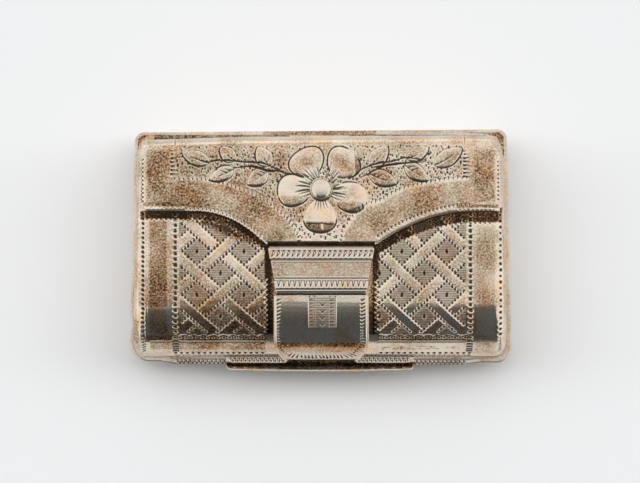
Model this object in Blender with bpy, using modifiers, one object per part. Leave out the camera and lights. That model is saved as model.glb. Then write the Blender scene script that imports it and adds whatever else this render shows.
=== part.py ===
"""A purse-shaped silver vinaigrette: a tray with a sponge under a pierced grille, and a hinged lid.

The lid is dressed as a small flap purse. A flap comes over its back edge and runs to a keeper strap,
below which the flap's tongue follows the rounded front down to the thumbpiece.
Units are metres. +Z is up, +Y is towards the hinge, and the origin is the middle of the flat underside.
"""
import math
from collections import namedtuple

import bmesh
import bpy
from mathutils import Matrix

MM = 0.001

# The base: its outline just below the seam, and how far up the seam is
BASE_WIDTH_BACK = 30.6 * MM
BASE_WIDTH_FRONT = 31.5 * MM
BASE_DEPTH = 18.88 * MM
SEAM_HEIGHT = 3.6 * MM
BASE_FRONT_ROLL = 2.4 * MM
BASE_EDGE_ROLL = 0.95 * MM
BASE_CORNER = 1.3 * MM
RIM_WIRE_RADIUS = 0.14 * MM
RIM_WIRE_DROP = 0.22 * MM

# The lid: how far its walls stand in from the base's, and its own height and rolls
LID_HEIGHT = 5.17 * MM
LID_SIDE_STEP = 0.17 * MM
LID_BACK_STEP = 0.95 * MM
LID_FRONT_STEP = 0.17 * MM
LID_FRONT_ROLL = 4.4 * MM
LID_EDGE_ROLL = 0.95 * MM
LID_CORNER = 1.35 * MM

# Sheet, and the gaps that solder fills or that let a piece move
SHEET = 0.45 * MM
SOLDER = 0.03 * MM
RUNNING = 0.05 * MM
SLIDING = 0.06 * MM

# The flap: a second sheet over the back half of the lid, with a hand-cut edge
FLAP_SHEET = 0.33 * MM
FLAP_SIDE_MARGIN = 0.35 * MM
FLAP_EDGE_Y = 2.92 * MM
FLAP_DROP = 2.8 * MM
FLAP_STRAIGHT_LEFT = 4.2 * MM
FLAP_STRAIGHT_RIGHT = 2.3 * MM
FLAP_EDGE_POINTS = 9

# The keeper strap and the tongue below it, both a little right of the middle
DRESS_X = 0.1 * MM
STRAP_TOP_HALF = 4.45 * MM
STRAP_LOW_HALF = 3.75 * MM
STRAP_BACK_GAP = 0.04 * MM
STRAP_LENGTH = 4.1 * MM
STRAP_THICK = 0.62 * MM
STRAP_EDGE_DROP = 0.22 * MM
GROOVE_WIDTH = 0.26 * MM
GROOVE_DEPTH = 0.14 * MM
GROOVE_PLACES = (0.72 * MM, 2.75 * MM)
TONGUE_SHEET = 0.33 * MM
TONGUE_HALF = 3.97 * MM
TONGUE_TIP_HALF = 2.7 * MM
TONGUE_SIDE_LENGTH = 3.5 * MM

# The flower on the flap
FLOWER_Y = 4.77 * MM
PETALS = 5
PETAL_FIRST = math.radians(48)
PETAL_RADIUS = 2.2 * MM
PETAL_LENGTH = 2.5 * MM
PETAL_WIDTH = 2.5 * MM
PETAL_HEIGHT = 0.18 * MM
PETAL_SINK = 0.02 * MM
BOSS_RADIUS = 0.87 * MM
BOSS_HEIGHT = 0.5 * MM

# The thumbpiece on the lid's front edge
THUMB_HALF = 7.9 * MM
THUMB_REACH = 1.25 * MM
THUMB_BOW = 0.2 * MM
THUMB_THICK = 0.42 * MM
THUMB_LIFT = 0.14 * MM
THUMB_END = 0.42 * MM
THUMB_HOLLOW_RADIUS = 0.9 * MM
THUMB_HOLLOW_DEPTH = 0.13 * MM

# The lid's hinge, in the gap between the lid's back and the base's back wall
HINGE_END_MARGIN = 1.4 * MM
HINGE_MIDDLE = 5.1 * MM
HINGE_LID_KNUCKLE = 5.6 * MM
KNUCKLE_RADIUS = 0.32 * MM
KNUCKLE_BORE = 0.18 * MM
PIN_RADIUS = 0.15 * MM
HINGE_SET_IN = 0.34 * MM
HINGE_LIFT = 0.06 * MM

# Inside: the deck that closes the tray, the bezel that the lid fits over, and the sponge
DECK_THICK = 0.4 * MM
LEDGE = 0.75 * MM
BEZEL_THICK = 0.3 * MM
BEZEL_HEIGHT = 0.6 * MM
BEZEL_FRONT_GAP = 0.12 * MM
SPONGE_CLEAR = 0.25 * MM

# The grille, its own small hinge and the tab that lifts it
GRILLE_THICK = 0.25 * MM
GRILLE_CLEAR = 0.08 * MM
GRILLE_KNUCKLE_RADIUS = 0.28 * MM
GRILLE_KNUCKLE_BORE = 0.15 * MM
GRILLE_PIN_RADIUS = 0.12 * MM
GRILLE_KNUCKLE = 6.0 * MM
GRILLE_SIDE_KNUCKLE = 3.0 * MM
TAB_RADIUS = 0.8 * MM
TAB_THICK = 0.3 * MM
TAB_SET_IN = 0.35 * MM
ROSETTE_HOLE = 0.5 * MM
DROP_LENGTH = 2.3 * MM
DROP_WIDTH = 1.1 * MM
DROP_RING = 2.15 * MM
DROPS = 8
ROSETTE_PITCH = 8.6 * MM
SPANDREL_RING = 4.25 * MM
GAP_HOLE_PITCH = 3.2 * MM
BORDER_HOLE = 0.3 * MM
BORDER_INSET = 1.0 * MM
BORDER_PITCH = 1.75 * MM

ROUND_SIDES = 20
ROLL_STEPS = 10
EDGE_STEPS = 3
CORNER_STEPS = 4

Plan = namedtuple("Plan", "half_back half_front back front")


def grown(plan, side, back=None, front=None):
    """The tapered outline moved out by side, and by back and front if they are given."""
    back = side if back is None else back
    front = side if front is None else front
    slope = (plan.half_front - plan.half_back) / (plan.back - plan.front)
    return Plan(
        plan.half_back + side - slope * back,
        plan.half_front + side + slope * front,
        plan.back + back,
        plan.front - front,
    )


def half_at(plan, y):
    """Half the outline's width at y."""
    along = (plan.back - y) / (plan.back - plan.front)
    return plan.half_back + along * (plan.half_front - plan.half_back)


# Outlines, worked out from each other
base_plan = Plan(BASE_WIDTH_BACK / 2, BASE_WIDTH_FRONT / 2, BASE_DEPTH / 2, -BASE_DEPTH / 2)
tray_inside = grown(base_plan, -SHEET)
lid_plan = grown(base_plan, -LID_SIDE_STEP, -LID_BACK_STEP, -LID_FRONT_STEP)
lid_inside = grown(lid_plan, -SHEET)
bezel_plan = grown(lid_inside, -SLIDING, -SLIDING, -BEZEL_FRONT_GAP)
bezel_inside = grown(bezel_plan, -BEZEL_THICK)

# Heights, worked out from each other
base_top = SEAM_HEIGHT - SOLDER
lid_low = SEAM_HEIGHT + SOLDER
lid_top = lid_low + LID_HEIGHT
flap_rise = SOLDER + FLAP_SHEET
flap_top = lid_top + flap_rise
tongue_rise = SOLDER + TONGUE_SHEET
deck_low = base_top - DECK_THICK
bezel_low = base_top + SOLDER
grille_low = base_top + SOLDER
grille_top = grille_low + GRILLE_THICK
thumb_low = lid_low + THUMB_LIFT

# Joint axes, both along X, and half the barrel's length
hinge_y = base_plan.back - HINGE_SET_IN
hinge_z = SEAM_HEIGHT + HINGE_LIFT
outer_end = base_plan.half_back - HINGE_END_MARGIN
grille_hinge_y = bezel_inside.back - RUNNING - GRILLE_KNUCKLE_RADIUS
grille_hinge_z = base_top + SOLDER + GRILLE_KNUCKLE_RADIUS


def new_collection(name):
    """A collection in the scene."""
    made = bpy.data.collections.new(name)
    bpy.context.scene.collection.children.link(made)
    return made


for old in list(bpy.data.objects):
    bpy.data.objects.remove(old)
parts = new_collection("vinaigrette")
cutters = new_collection("cutters")


def finish(name, colour, metallic, roughness):
    """A plain Principled material."""
    made = bpy.data.materials.new(name)
    made.use_nodes = True
    shader = made.node_tree.nodes["Principled BSDF"]
    shader.inputs["Base Color"].default_value = (*colour, 1)
    shader.inputs["Metallic"].default_value = metallic
    shader.inputs["Roughness"].default_value = roughness
    return made


def tarnished(name):
    """Silver with a warm brown tarnish."""
    return finish(name, (0.42, 0.35, 0.28), 1.0, 0.35)


def gilt(name):
    """Fire-gilt silver, as inside such boxes."""
    return finish(name, (0.80, 0.56, 0.24), 1.0, 0.25)


def add_part(name, mesh, material):
    """An object of the model, shaded smooth where it is round."""
    made = bpy.data.objects.new(name, mesh)
    parts.objects.link(made)
    mesh.materials.clear()
    mesh.materials.append(material)
    mesh.shade_smooth()
    mesh.set_sharp_from_angle(angle=math.radians(35))
    return made


def add_cutter(name, mesh):
    """A hidden object that only cuts, trims or adds to another."""
    made = bpy.data.objects.new(name, mesh)
    cutters.objects.link(made)
    made.hide_render = True
    made.display_type = "WIRE"
    return made


def boolean(target, operation, tool):
    """A Boolean modifier on target."""
    made = target.modifiers.new(tool.name, "BOOLEAN")
    made.operation = operation
    made.solver = "EXACT"
    made.object = tool


def mesh_from_curve(curve, place=Matrix.Identity(4)):
    """A curve's evaluated mesh with its caps welded on, moved to its place."""
    holder = bpy.data.objects.new(curve.name, curve)
    cutters.objects.link(holder)
    view = bpy.context.evaluated_depsgraph_get()
    mesh = bpy.data.meshes.new_from_object(holder.evaluated_get(view))
    bpy.data.objects.remove(holder)
    bm = bmesh.new()
    bm.from_mesh(mesh)
    bmesh.ops.remove_doubles(bm, verts=bm.verts, dist=0.001 * MM)
    bmesh.ops.transform(bm, matrix=place, verts=bm.verts)
    bmesh.ops.recalc_face_normals(bm, faces=bm.faces)
    bm.to_mesh(mesh)
    bm.free()
    return mesh


def flat_curve(name, outlines, thickness):
    """A 2D curve of closed outlines, the inner ones being holes, with a thickness along Z."""
    curve = bpy.data.curves.new(name, "CURVE")
    curve.dimensions = "2D"
    curve.fill_mode = "BOTH"
    curve.extrude = thickness / 2
    for outline in outlines:
        spline = curve.splines.new("POLY")
        spline.points.add(len(outline) - 1)
        for point, (x, y) in zip(spline.points, outline):
            point.co = (x, y, 0, 1)
        spline.use_cyclic_u = True
    return curve


def plate_mesh(name, outlines, low, high):
    """A flat plate between two heights, from outlines seen from above."""
    middle = Matrix.Translation((0, 0, (low + high) / 2))
    return mesh_from_curve(flat_curve(name, outlines, high - low), middle)


def outline_points(plan, back_corner, front_corner):
    """The tapered outline with rounded corners, counter-clockwise from above."""
    points = []
    for x_sign, y_sign in ((1, -1), (1, 1), (-1, 1), (-1, -1)):
        corner = back_corner if y_sign > 0 else front_corner
        y = (plan.back - corner) if y_sign > 0 else (plan.front + corner)
        x = x_sign * (half_at(plan, y) - corner)
        start = {(1, -1): 270, (1, 1): 0, (-1, 1): 90, (-1, -1): 180}[(x_sign, y_sign)]
        for step in range(CORNER_STEPS + 1):
            turn = math.radians(start + 90 * step / CORNER_STEPS)
            points.append((x + corner * math.cos(turn), y + corner * math.sin(turn)))
    return points


def block(name, plan, low, high, front_roll, edge_roll, corner, turned_over=False):
    """A tapered block with a rolled front edge, rolled other edges and round back corners.

    Its rolled side is its top, or its underside if it is turned over.
    """
    bm = bmesh.new()
    bmesh.ops.create_cube(bm, size=1)
    for vertex in bm.verts:
        at_back = vertex.co.y > 0
        half = plan.half_back if at_back else plan.half_front
        vertex.co.x = math.copysign(half, vertex.co.x)
        vertex.co.y = plan.back if at_back else plan.front
        vertex.co.z = high if vertex.co.z > 0 else low

    def bevel(edges, radius, steps):
        bmesh.ops.bevel(
            bm, geom=edges, offset=radius, offset_type="OFFSET", segments=steps,
            profile=0.5, affect="EDGES", clamp_overlap=False,
        )
        bm.normal_update()

    def middle(edge):
        return (edge.verts[0].co + edge.verts[1].co) / 2

    nudge = 0.001 * MM
    front_top = [
        e for e in bm.edges
        if middle(e).y < plan.front + nudge and middle(e).z > high - nudge
    ]
    bevel(front_top, front_roll, ROLL_STEPS)
    back_corners = [
        e for e in bm.edges
        if middle(e).y > plan.back - nudge and abs(e.verts[0].co.x - e.verts[1].co.x) < nudge
        and abs(e.verts[0].co.z - e.verts[1].co.z) > nudge
    ]
    bevel(back_corners, corner, CORNER_STEPS)

    def is_wall(face):
        upright = abs(face.normal.z) < 0.001
        return upright and (abs(face.normal.x) > 0.05 or face.normal.y > 0.5)

    def is_low_end(face):
        return face.normal.z < -0.99

    rim = [
        e for e in bm.edges
        if not any(is_low_end(f) for f in e.link_faces)
        and sum(is_wall(f) for f in e.link_faces) == 1
    ]
    bevel(rim, edge_roll, EDGE_STEPS)
    if turned_over:
        for vertex in bm.verts:
            vertex.co.z = low + high - vertex.co.z
        bmesh.ops.reverse_faces(bm, faces=bm.faces)
    mesh = bpy.data.meshes.new(name)
    bm.to_mesh(mesh)
    bm.free()
    return mesh


def opened(mesh, height):
    """The mesh without its face at a height, ready to be made a shell."""
    bm = bmesh.new()
    bm.from_mesh(mesh)
    ends = [f for f in bm.faces if all(abs(v.co.z - height) < 0.001 * MM for v in f.verts)]
    bmesh.ops.delete(bm, geom=ends, context="FACES")
    bm.to_mesh(mesh)
    bm.free()
    return mesh


def shell(target):
    """A Solidify modifier that thickens a sheet inwards."""
    made = target.modifiers.new("sheet", "SOLIDIFY")
    made.thickness = SHEET
    made.offset = -1
    made.use_even_offset = True
    made.use_rim = True


def turned(name, profile, place, steps=ROUND_SIDES, closed=False):
    """A turned shape: a profile of (radius, height), outer side first and downwards, about Z."""
    mesh = bpy.data.meshes.new(name)
    edges = [(i, i + 1) for i in range(len(profile) - 1)]
    if closed:
        edges.append((len(profile) - 1, 0))
    mesh.from_pydata([(r, 0, z) for r, z in profile], edges, [])
    holder = bpy.data.objects.new(name, mesh)
    cutters.objects.link(holder)
    screw = holder.modifiers.new("turn", "SCREW")
    screw.steps = screw.render_steps = steps
    screw.use_merge_vertices = True
    screw.merge_threshold = 0.001 * MM
    view = bpy.context.evaluated_depsgraph_get()
    made = bpy.data.meshes.new_from_object(holder.evaluated_get(view))
    bpy.data.objects.remove(holder)
    made.transform(place)
    return made


def along_x(x, y, z):
    """Places a turned shape with its axis along X."""
    return Matrix.Translation((x, y, z)) @ Matrix.Rotation(math.pi / 2, 4, "Y")


def rod_mesh(name, radius, start, end, y, z):
    """A solid rod along X."""
    half = (end - start) / 2
    profile = [(0, half), (radius, half), (radius, -half), (0, -half)]
    return turned(name, profile, along_x((start + end) / 2, y, z))


def knuckle_mesh(name, radius, bore, start, end, y, z):
    """A tube along X."""
    half = (end - start) / 2
    profile = [(radius, half), (radius, -half), (bore, -half), (bore, half)]
    return turned(name, profile, along_x((start + end) / 2, y, z), closed=True)


def axis_empty(name, y, z):
    """An empty on a joint's axis, which carries the pieces that turn about it."""
    made = bpy.data.objects.new(name, None)
    made.location = (0, y, z)
    parts.objects.link(made)
    return made


def carry(child, parent):
    """Parents child without moving it."""
    child.parent = parent
    child.matrix_parent_inverse = Matrix.Translation(parent.location).inverted()


lid_axis = axis_empty("lid_axis", hinge_y, hinge_z)
grille_axis = axis_empty("grille_axis", grille_hinge_y, grille_hinge_z)

# The hinge trough, cut wherever the barrel lies against sheet
trough = add_cutter("hinge_trough", rod_mesh(
    "hinge_trough", KNUCKLE_RADIUS + RUNNING, -outer_end - RUNNING, outer_end + RUNNING,
    hinge_y, hinge_z))

# The tray, raised from one sheet
tray_mesh = block("base_tray", base_plan, 0, base_top, BASE_FRONT_ROLL, BASE_EDGE_ROLL,
                  BASE_CORNER, turned_over=True)
base_tray = add_part("base_tray", opened(tray_mesh, base_top), tarnished("tray_silver"))
shell(base_tray)
boolean(base_tray, "DIFFERENCE", trough)

# The wire soldered round the tray below the seam
rim_offset = SOLDER + RIM_WIRE_RADIUS
rim_curve = bpy.data.curves.new("base_rim", "CURVE")
rim_curve.dimensions = "3D"
rim_curve.bevel_depth = RIM_WIRE_RADIUS
rim_curve.bevel_resolution = 1
rim_spline = rim_curve.splines.new("POLY")
rim_points = outline_points(grown(base_plan, rim_offset), BASE_CORNER + rim_offset,
                            BASE_EDGE_ROLL + rim_offset)
rim_spline.points.add(len(rim_points) - 1)
for rim_point, (rim_x, rim_y) in zip(rim_spline.points, rim_points):
    rim_point.co = (rim_x, rim_y, SEAM_HEIGHT - RIM_WIRE_DROP, 1)
rim_spline.use_cyclic_u = True
add_part("base_rim", mesh_from_curve(rim_curve), tarnished("rim_silver"))

# The deck inside the tray's mouth, and the bezel on it
deck_corner = BASE_CORNER - SHEET
deck_outlines = [
    outline_points(grown(tray_inside, -SOLDER), deck_corner, deck_corner),
    outline_points(grown(bezel_inside, -LEDGE), deck_corner, deck_corner),
]
base_deck = add_part("base_deck", plate_mesh("base_deck", deck_outlines, deck_low, base_top),
                     gilt("deck_gilt"))
boolean(base_deck, "DIFFERENCE", trough)
bezel_corner = LID_CORNER - SHEET
bezel_bore_corner = bezel_corner - BEZEL_THICK
bezel_outlines = [
    outline_points(bezel_plan, bezel_corner, bezel_corner),
    outline_points(bezel_inside, bezel_bore_corner, bezel_bore_corner),
]
add_part("base_bezel",
         plate_mesh("base_bezel", bezel_outlines, bezel_low, bezel_low + BEZEL_HEIGHT),
         gilt("bezel_gilt"))

# The lid's hinge: three knuckles on the base, two on the lid, one pin
middle_end = HINGE_MIDDLE / 2
lid_start = middle_end + RUNNING
lid_end = lid_start + HINGE_LID_KNUCKLE
outer_start = lid_end + RUNNING


def hinge_knuckle(name, start, end):
    """A knuckle of the lid's hinge."""
    mesh = knuckle_mesh(name, KNUCKLE_RADIUS, KNUCKLE_BORE, start, end, hinge_y, hinge_z)
    return add_part(name, mesh, tarnished(name + "_silver"))


hinge_knuckle("base_knuckle_centre", -middle_end, middle_end)
hinge_knuckle("base_knuckle_left", -outer_end, -outer_start)
hinge_knuckle("base_knuckle_right", outer_start, outer_end)
carry(hinge_knuckle("lid_knuckle_left", -lid_end, -lid_start), lid_axis)
carry(hinge_knuckle("lid_knuckle_right", lid_start, lid_end), lid_axis)
add_part("hinge_pin", rod_mesh("hinge_pin", PIN_RADIUS, -outer_end, outer_end, hinge_y, hinge_z),
         finish("pin_silver", (0.5, 0.47, 0.42), 1.0, 0.3))


def lid_block(name, rise, low):
    """The lid's outer form, grown by a rise on every side."""
    return block(name, grown(lid_plan, rise), low, lid_top + rise, LID_FRONT_ROLL + rise,
                 LID_EDGE_ROLL + rise, LID_CORNER + rise)


# The lid's shell
lid_mesh = opened(lid_block("lid_shell", 0, lid_low), lid_low)
lid_shell = add_part("lid_shell", lid_mesh, tarnished("lid_silver"))
shell(lid_shell)
carry(lid_shell, lid_axis)
lid_form = add_cutter("lid_form", lid_block("lid_form", SOLDER, lid_low - SHEET))


# The flap: a sheet over the top and down the back, trimmed to its outline
beyond = 2 * BASE_CORNER
side_x = half_at(lid_plan, FLAP_EDGE_Y) - FLAP_SIDE_MARGIN
back_x = half_at(lid_plan, lid_plan.back + beyond) - FLAP_SIDE_MARGIN
flap_points = [(side_x, FLAP_EDGE_Y), (back_x, lid_plan.back + beyond),
               (-back_x, lid_plan.back + beyond), (-side_x, FLAP_EDGE_Y)]
left_run = side_x - FLAP_STRAIGHT_LEFT + DRESS_X - STRAP_TOP_HALF
right_run = side_x - FLAP_STRAIGHT_RIGHT - DRESS_X - STRAP_TOP_HALF
left_edge, right_edge = [], []
for k in range(FLAP_EDGE_POINTS + 1):
    into = k / FLAP_EDGE_POINTS
    y = FLAP_EDGE_Y - FLAP_DROP * into ** 2
    left_edge.append((DRESS_X - STRAP_TOP_HALF - left_run * (1 - into), y))
    right_edge.append((DRESS_X + STRAP_TOP_HALF + right_run * (1 - into), y))
flap_points += left_edge + right_edge[::-1]
flap = add_part("flap", lid_block("flap", flap_rise, lid_low), tarnished("flap_silver"))
flap_trim = add_cutter("flap_trim", plate_mesh("flap_trim", [flap_points], 0, 2 * lid_top))
for petal in range(PETALS):
    direction = PETAL_FIRST + math.tau * petal / PETALS
    petal_bm = bmesh.new()
    bmesh.ops.create_uvsphere(petal_bm, u_segments=16, v_segments=10, radius=1)
    place = (
        Matrix.Translation((DRESS_X, FLOWER_Y, flap_top - PETAL_SINK))
        @ Matrix.Rotation(direction, 4, "Z")
        @ Matrix.Translation((PETAL_RADIUS, 0, 0))
        @ Matrix.Diagonal((PETAL_LENGTH / 2, PETAL_WIDTH / 2, PETAL_HEIGHT, 1))
    )
    bmesh.ops.transform(petal_bm, matrix=place, verts=petal_bm.verts)
    petal_mesh = bpy.data.meshes.new(f"petal_{petal + 1}")
    petal_bm.to_mesh(petal_mesh)
    petal_bm.free()
    boolean(flap, "UNION", add_cutter(f"petal_{petal + 1}", petal_mesh))
boolean(flap, "INTERSECT", flap_trim)
boolean(flap, "DIFFERENCE", lid_form)
boolean(flap, "DIFFERENCE", trough)
carry(flap, lid_axis)

# The boss in the flower's middle
boss_steps = 5
boss_profile = [
    (BOSS_RADIUS * math.sin(math.pi / 2 * k / boss_steps),
     BOSS_HEIGHT * math.cos(math.pi / 2 * k / boss_steps))
    for k in range(boss_steps + 1)
] + [(0, 0)]
boss_profile[0] = (0, BOSS_HEIGHT)
boss_place = Matrix.Translation((DRESS_X, FLOWER_Y, flap_top + SOLDER))
flower_boss = add_part("flower_boss", turned("flower_boss", boss_profile, boss_place),
                       tarnished("boss_silver"))
carry(flower_boss, lid_axis)

# The keeper strap: a moulded band across the lid, drawn as its section and run along X
strap_back = FLAP_EDGE_Y - FLAP_DROP - STRAP_BACK_GAP
strap_front = strap_back - STRAP_LENGTH
strap_section = [(strap_front, 0), (strap_front, STRAP_THICK - STRAP_EDGE_DROP),
                 (strap_front + STRAP_EDGE_DROP, STRAP_THICK)]
for groove in reversed(GROOVE_PLACES):
    groove_y = strap_back - groove
    strap_section += [
        (groove_y - GROOVE_WIDTH / 2, STRAP_THICK),
        (groove_y - GROOVE_WIDTH / 4, STRAP_THICK - GROOVE_DEPTH),
        (groove_y + GROOVE_WIDTH / 4, STRAP_THICK - GROOVE_DEPTH),
        (groove_y + GROOVE_WIDTH / 2, STRAP_THICK),
    ]
strap_section += [(strap_back - STRAP_EDGE_DROP, STRAP_THICK),
                  (strap_back, STRAP_THICK - STRAP_EDGE_DROP), (strap_back, 0)]
strap_stand = Matrix.Translation((DRESS_X, 0, lid_top + SOLDER)) @ Matrix(
    ((0, 0, 1, 0), (1, 0, 0, 0), (0, 1, 0, 0), (0, 0, 0, 1)))
strap_mesh = mesh_from_curve(flat_curve("strap", [strap_section], 2 * STRAP_TOP_HALF), strap_stand)
for vertex in strap_mesh.vertices:
    share = (strap_back - vertex.co.y) / STRAP_LENGTH
    narrow = 1 + share * (STRAP_LOW_HALF / STRAP_TOP_HALF - 1)
    vertex.co.x = DRESS_X + (vertex.co.x - DRESS_X) * narrow
strap = add_part("strap", strap_mesh, tarnished("strap_silver"))
carry(strap, lid_axis)

# The tongue: a sheet that follows the rolled front, with rounded lower corners
tongue_back = strap_front - STRAP_BACK_GAP
tongue_turn = tongue_back - TONGUE_SIDE_LENGTH
tongue_front = lid_plan.front - tongue_rise
tongue_corner_steps = 6
right_side = [(TONGUE_TIP_HALF, tongue_front - SHEET)]
for k in range(tongue_corner_steps + 1):
    angle = math.pi / 2 * (1 - k / tongue_corner_steps)
    right_side.append((
        TONGUE_TIP_HALF + (TONGUE_HALF - TONGUE_TIP_HALF) * math.cos(angle),
        tongue_turn + (tongue_front - tongue_turn) * math.sin(angle),
    ))
right_side.append((TONGUE_HALF, tongue_back))
tongue_points = [(DRESS_X + x, y) for x, y in right_side]
tongue_points += [(DRESS_X - x, y) for x, y in reversed(right_side)]
tongue_low = thumb_low + THUMB_THICK + SOLDER
tongue = add_part("tongue", lid_block("tongue", tongue_rise, tongue_low),
                  tarnished("tongue_silver"))
tongue_trim = add_cutter("tongue_trim", plate_mesh("tongue_trim", [tongue_points], 0, 2 * lid_top))
boolean(tongue, "INTERSECT", tongue_trim)
boolean(tongue, "DIFFERENCE", lid_form)
carry(tongue, lid_axis)

# The thumbpiece: a hollowed strip on the lid's front edge
thumb_back = lid_plan.front - SOLDER
thumb_front = thumb_back - THUMB_REACH
thumb_steps = 8
thumb_turn = THUMB_HALF - THUMB_END
thumb_points = [(THUMB_HALF, thumb_back), (-THUMB_HALF, thumb_back)]
for k in range(CORNER_STEPS):
    angle = math.pi / 2 * k / CORNER_STEPS
    thumb_points.append((
        -thumb_turn - THUMB_END * math.cos(angle),
        thumb_front + THUMB_BOW + THUMB_END * (1 - math.sin(angle)),
    ))
for k in range(thumb_steps + 1):
    share = 2 * k / thumb_steps - 1
    thumb_points.append((share * thumb_turn, thumb_front + THUMB_BOW * share ** 2))
for k in reversed(range(CORNER_STEPS)):
    x, y = thumb_points[2 + k]
    thumb_points.append((-x, y))
thumbpiece = add_part(
    "thumbpiece",
    plate_mesh("thumbpiece", [thumb_points], thumb_low, thumb_low + THUMB_THICK),
    tarnished("thumb_silver"))
hollow_y = (thumb_front + base_plan.front) / 2 - rim_offset
hollow_z = thumb_low + THUMB_THICK - THUMB_HOLLOW_DEPTH + THUMB_HOLLOW_RADIUS
hollow = add_cutter("thumb_hollow", rod_mesh(
    "thumb_hollow", THUMB_HOLLOW_RADIUS, -THUMB_HALF - THUMB_END, THUMB_HALF + THUMB_END,
    hollow_y, hollow_z))
boolean(thumbpiece, "DIFFERENCE", hollow)
carry(thumbpiece, lid_axis)

# The grille: a pierced plate on the deck's ledge, with a border of round holes and three rosettes
grille_back = grille_hinge_y - GRILLE_KNUCKLE_RADIUS - RUNNING
grille_plan = grown(bezel_inside, -GRILLE_CLEAR, grille_back - bezel_inside.back, -GRILLE_CLEAR)


def round_hole(x, y, radius, sides=10):
    """A round piercing."""
    turns = [math.tau * k / sides for k in range(sides)]
    return [(x + radius * math.cos(t), y + radius * math.sin(t)) for t in turns]


def drop_hole(x, y, direction):
    """A drop-shaped piercing, its point towards (x, y) and its round end away from it."""
    points = []
    for k in range(10):
        turn = math.tau * k / 10
        along = DROP_RING + DROP_LENGTH / 2 * math.cos(turn)
        across = DROP_WIDTH / 2 * math.sin(turn) * (0.75 + 0.45 * math.cos(turn))
        points.append((
            x + along * math.cos(direction) - across * math.sin(direction),
            y + along * math.sin(direction) + across * math.cos(direction),
        ))
    return points


grille_middle = (grille_plan.back + grille_plan.front) / 2
piercings = []
for column in (-1, 0, 1):
    centre_x = column * ROSETTE_PITCH
    piercings.append(round_hole(centre_x, grille_middle, ROSETTE_HOLE))
    for k in range(DROPS):
        piercings.append(drop_hole(centre_x, grille_middle, math.tau * (k + 0.5) / DROPS))
    for y_sign in (-1, 1):
        spandrel_y = grille_middle + y_sign * SPANDREL_RING
        piercings.append(round_hole(centre_x, spandrel_y, BORDER_HOLE))
        piercings.append(round_hole(centre_x + BORDER_PITCH, spandrel_y, BORDER_HOLE))
        piercings.append(round_hole(centre_x - BORDER_PITCH, spandrel_y, BORDER_HOLE))
for x_sign in (-1, 1):
    for y_step in (-1, 0, 1):
        gap_x = x_sign * ROSETTE_PITCH / 2
        gap_y = grille_middle + y_step * GAP_HOLE_PITCH
        piercings.append(round_hole(gap_x, gap_y, ROSETTE_HOLE))
border = grown(grille_plan, -BORDER_INSET)
border_columns = 2 * int(border.half_back / BORDER_PITCH)
for y, columns in ((border.back, border_columns), (border.front, border_columns - 1)):
    for k in range(columns + 1):
        share = 2 * k / columns - 1
        piercings.append(round_hole(share * half_at(border, y), y, BORDER_HOLE, 8))
border_rows = int((border.back - border.front) / BORDER_PITCH)
for x_sign in (-1, 1):
    for k in range(1, border_rows):
        y = border.back + (border.front - border.back) * k / border_rows
        piercings.append(round_hole(x_sign * half_at(border, y), y, BORDER_HOLE, 8))
grille_outlines = [outline_points(grille_plan, bezel_bore_corner, bezel_bore_corner)] + piercings
grille_plate = add_part("grille_plate",
                        plate_mesh("grille_plate", grille_outlines, grille_low, grille_top),
                        gilt("grille_gilt"))
carry(grille_plate, grille_axis)


def grille_knuckle(name, start, end):
    """A knuckle of the grille's hinge."""
    mesh = knuckle_mesh(name, GRILLE_KNUCKLE_RADIUS, GRILLE_KNUCKLE_BORE, start, end,
                        grille_hinge_y, grille_hinge_z)
    return add_part(name, mesh, gilt(name + "_gilt"))


grille_end = GRILLE_KNUCKLE / 2
side_start = grille_end + RUNNING
side_end = side_start + GRILLE_SIDE_KNUCKLE
carry(grille_knuckle("grille_knuckle", -grille_end, grille_end), grille_axis)
grille_knuckle("grille_hinge_left", -side_end, -side_start)
grille_knuckle("grille_hinge_right", side_start, side_end)
add_part("grille_pin",
         rod_mesh("grille_pin", GRILLE_PIN_RADIUS, -side_end, side_end, grille_hinge_y,
                  grille_hinge_z),
         gilt("grille_pin_gilt"))

# The tab that lifts the grille: a half disc standing on its front edge
tab_steps = 10
tab_points = [
    (TAB_RADIUS * math.cos(math.pi * k / tab_steps), TAB_RADIUS * math.sin(math.pi * k / tab_steps))
    for k in range(tab_steps + 1)
]
tab_y = grille_plan.front + TAB_SET_IN
tab_place = Matrix.Translation((0, tab_y, grille_top + SOLDER)) @ Matrix.Rotation(math.pi / 2, 4, "X")
tab_mesh = mesh_from_curve(flat_curve("grille_tab", [tab_points], TAB_THICK), tab_place)
grille_tab = add_part("grille_tab", tab_mesh, gilt("tab_gilt"))
carry(grille_tab, grille_axis)

# The sponge that holds the aromatic vinegar, loose in the tray under the deck
sponge_inset = SHEET + SPONGE_CLEAR
sponge_mesh = block("sponge", grown(base_plan, -sponge_inset), sponge_inset, deck_low - SPONGE_CLEAR,
                    BASE_FRONT_ROLL - sponge_inset, BASE_EDGE_ROLL, BASE_CORNER - SOLDER,
                    turned_over=True)
add_part("sponge", sponge_mesh, finish("sponge", (0.62, 0.47, 0.26), 0.0, 0.95))
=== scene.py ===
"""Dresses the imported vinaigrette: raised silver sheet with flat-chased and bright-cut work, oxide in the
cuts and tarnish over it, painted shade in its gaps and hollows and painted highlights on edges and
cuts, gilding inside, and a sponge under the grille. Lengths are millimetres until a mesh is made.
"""
import math

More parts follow.
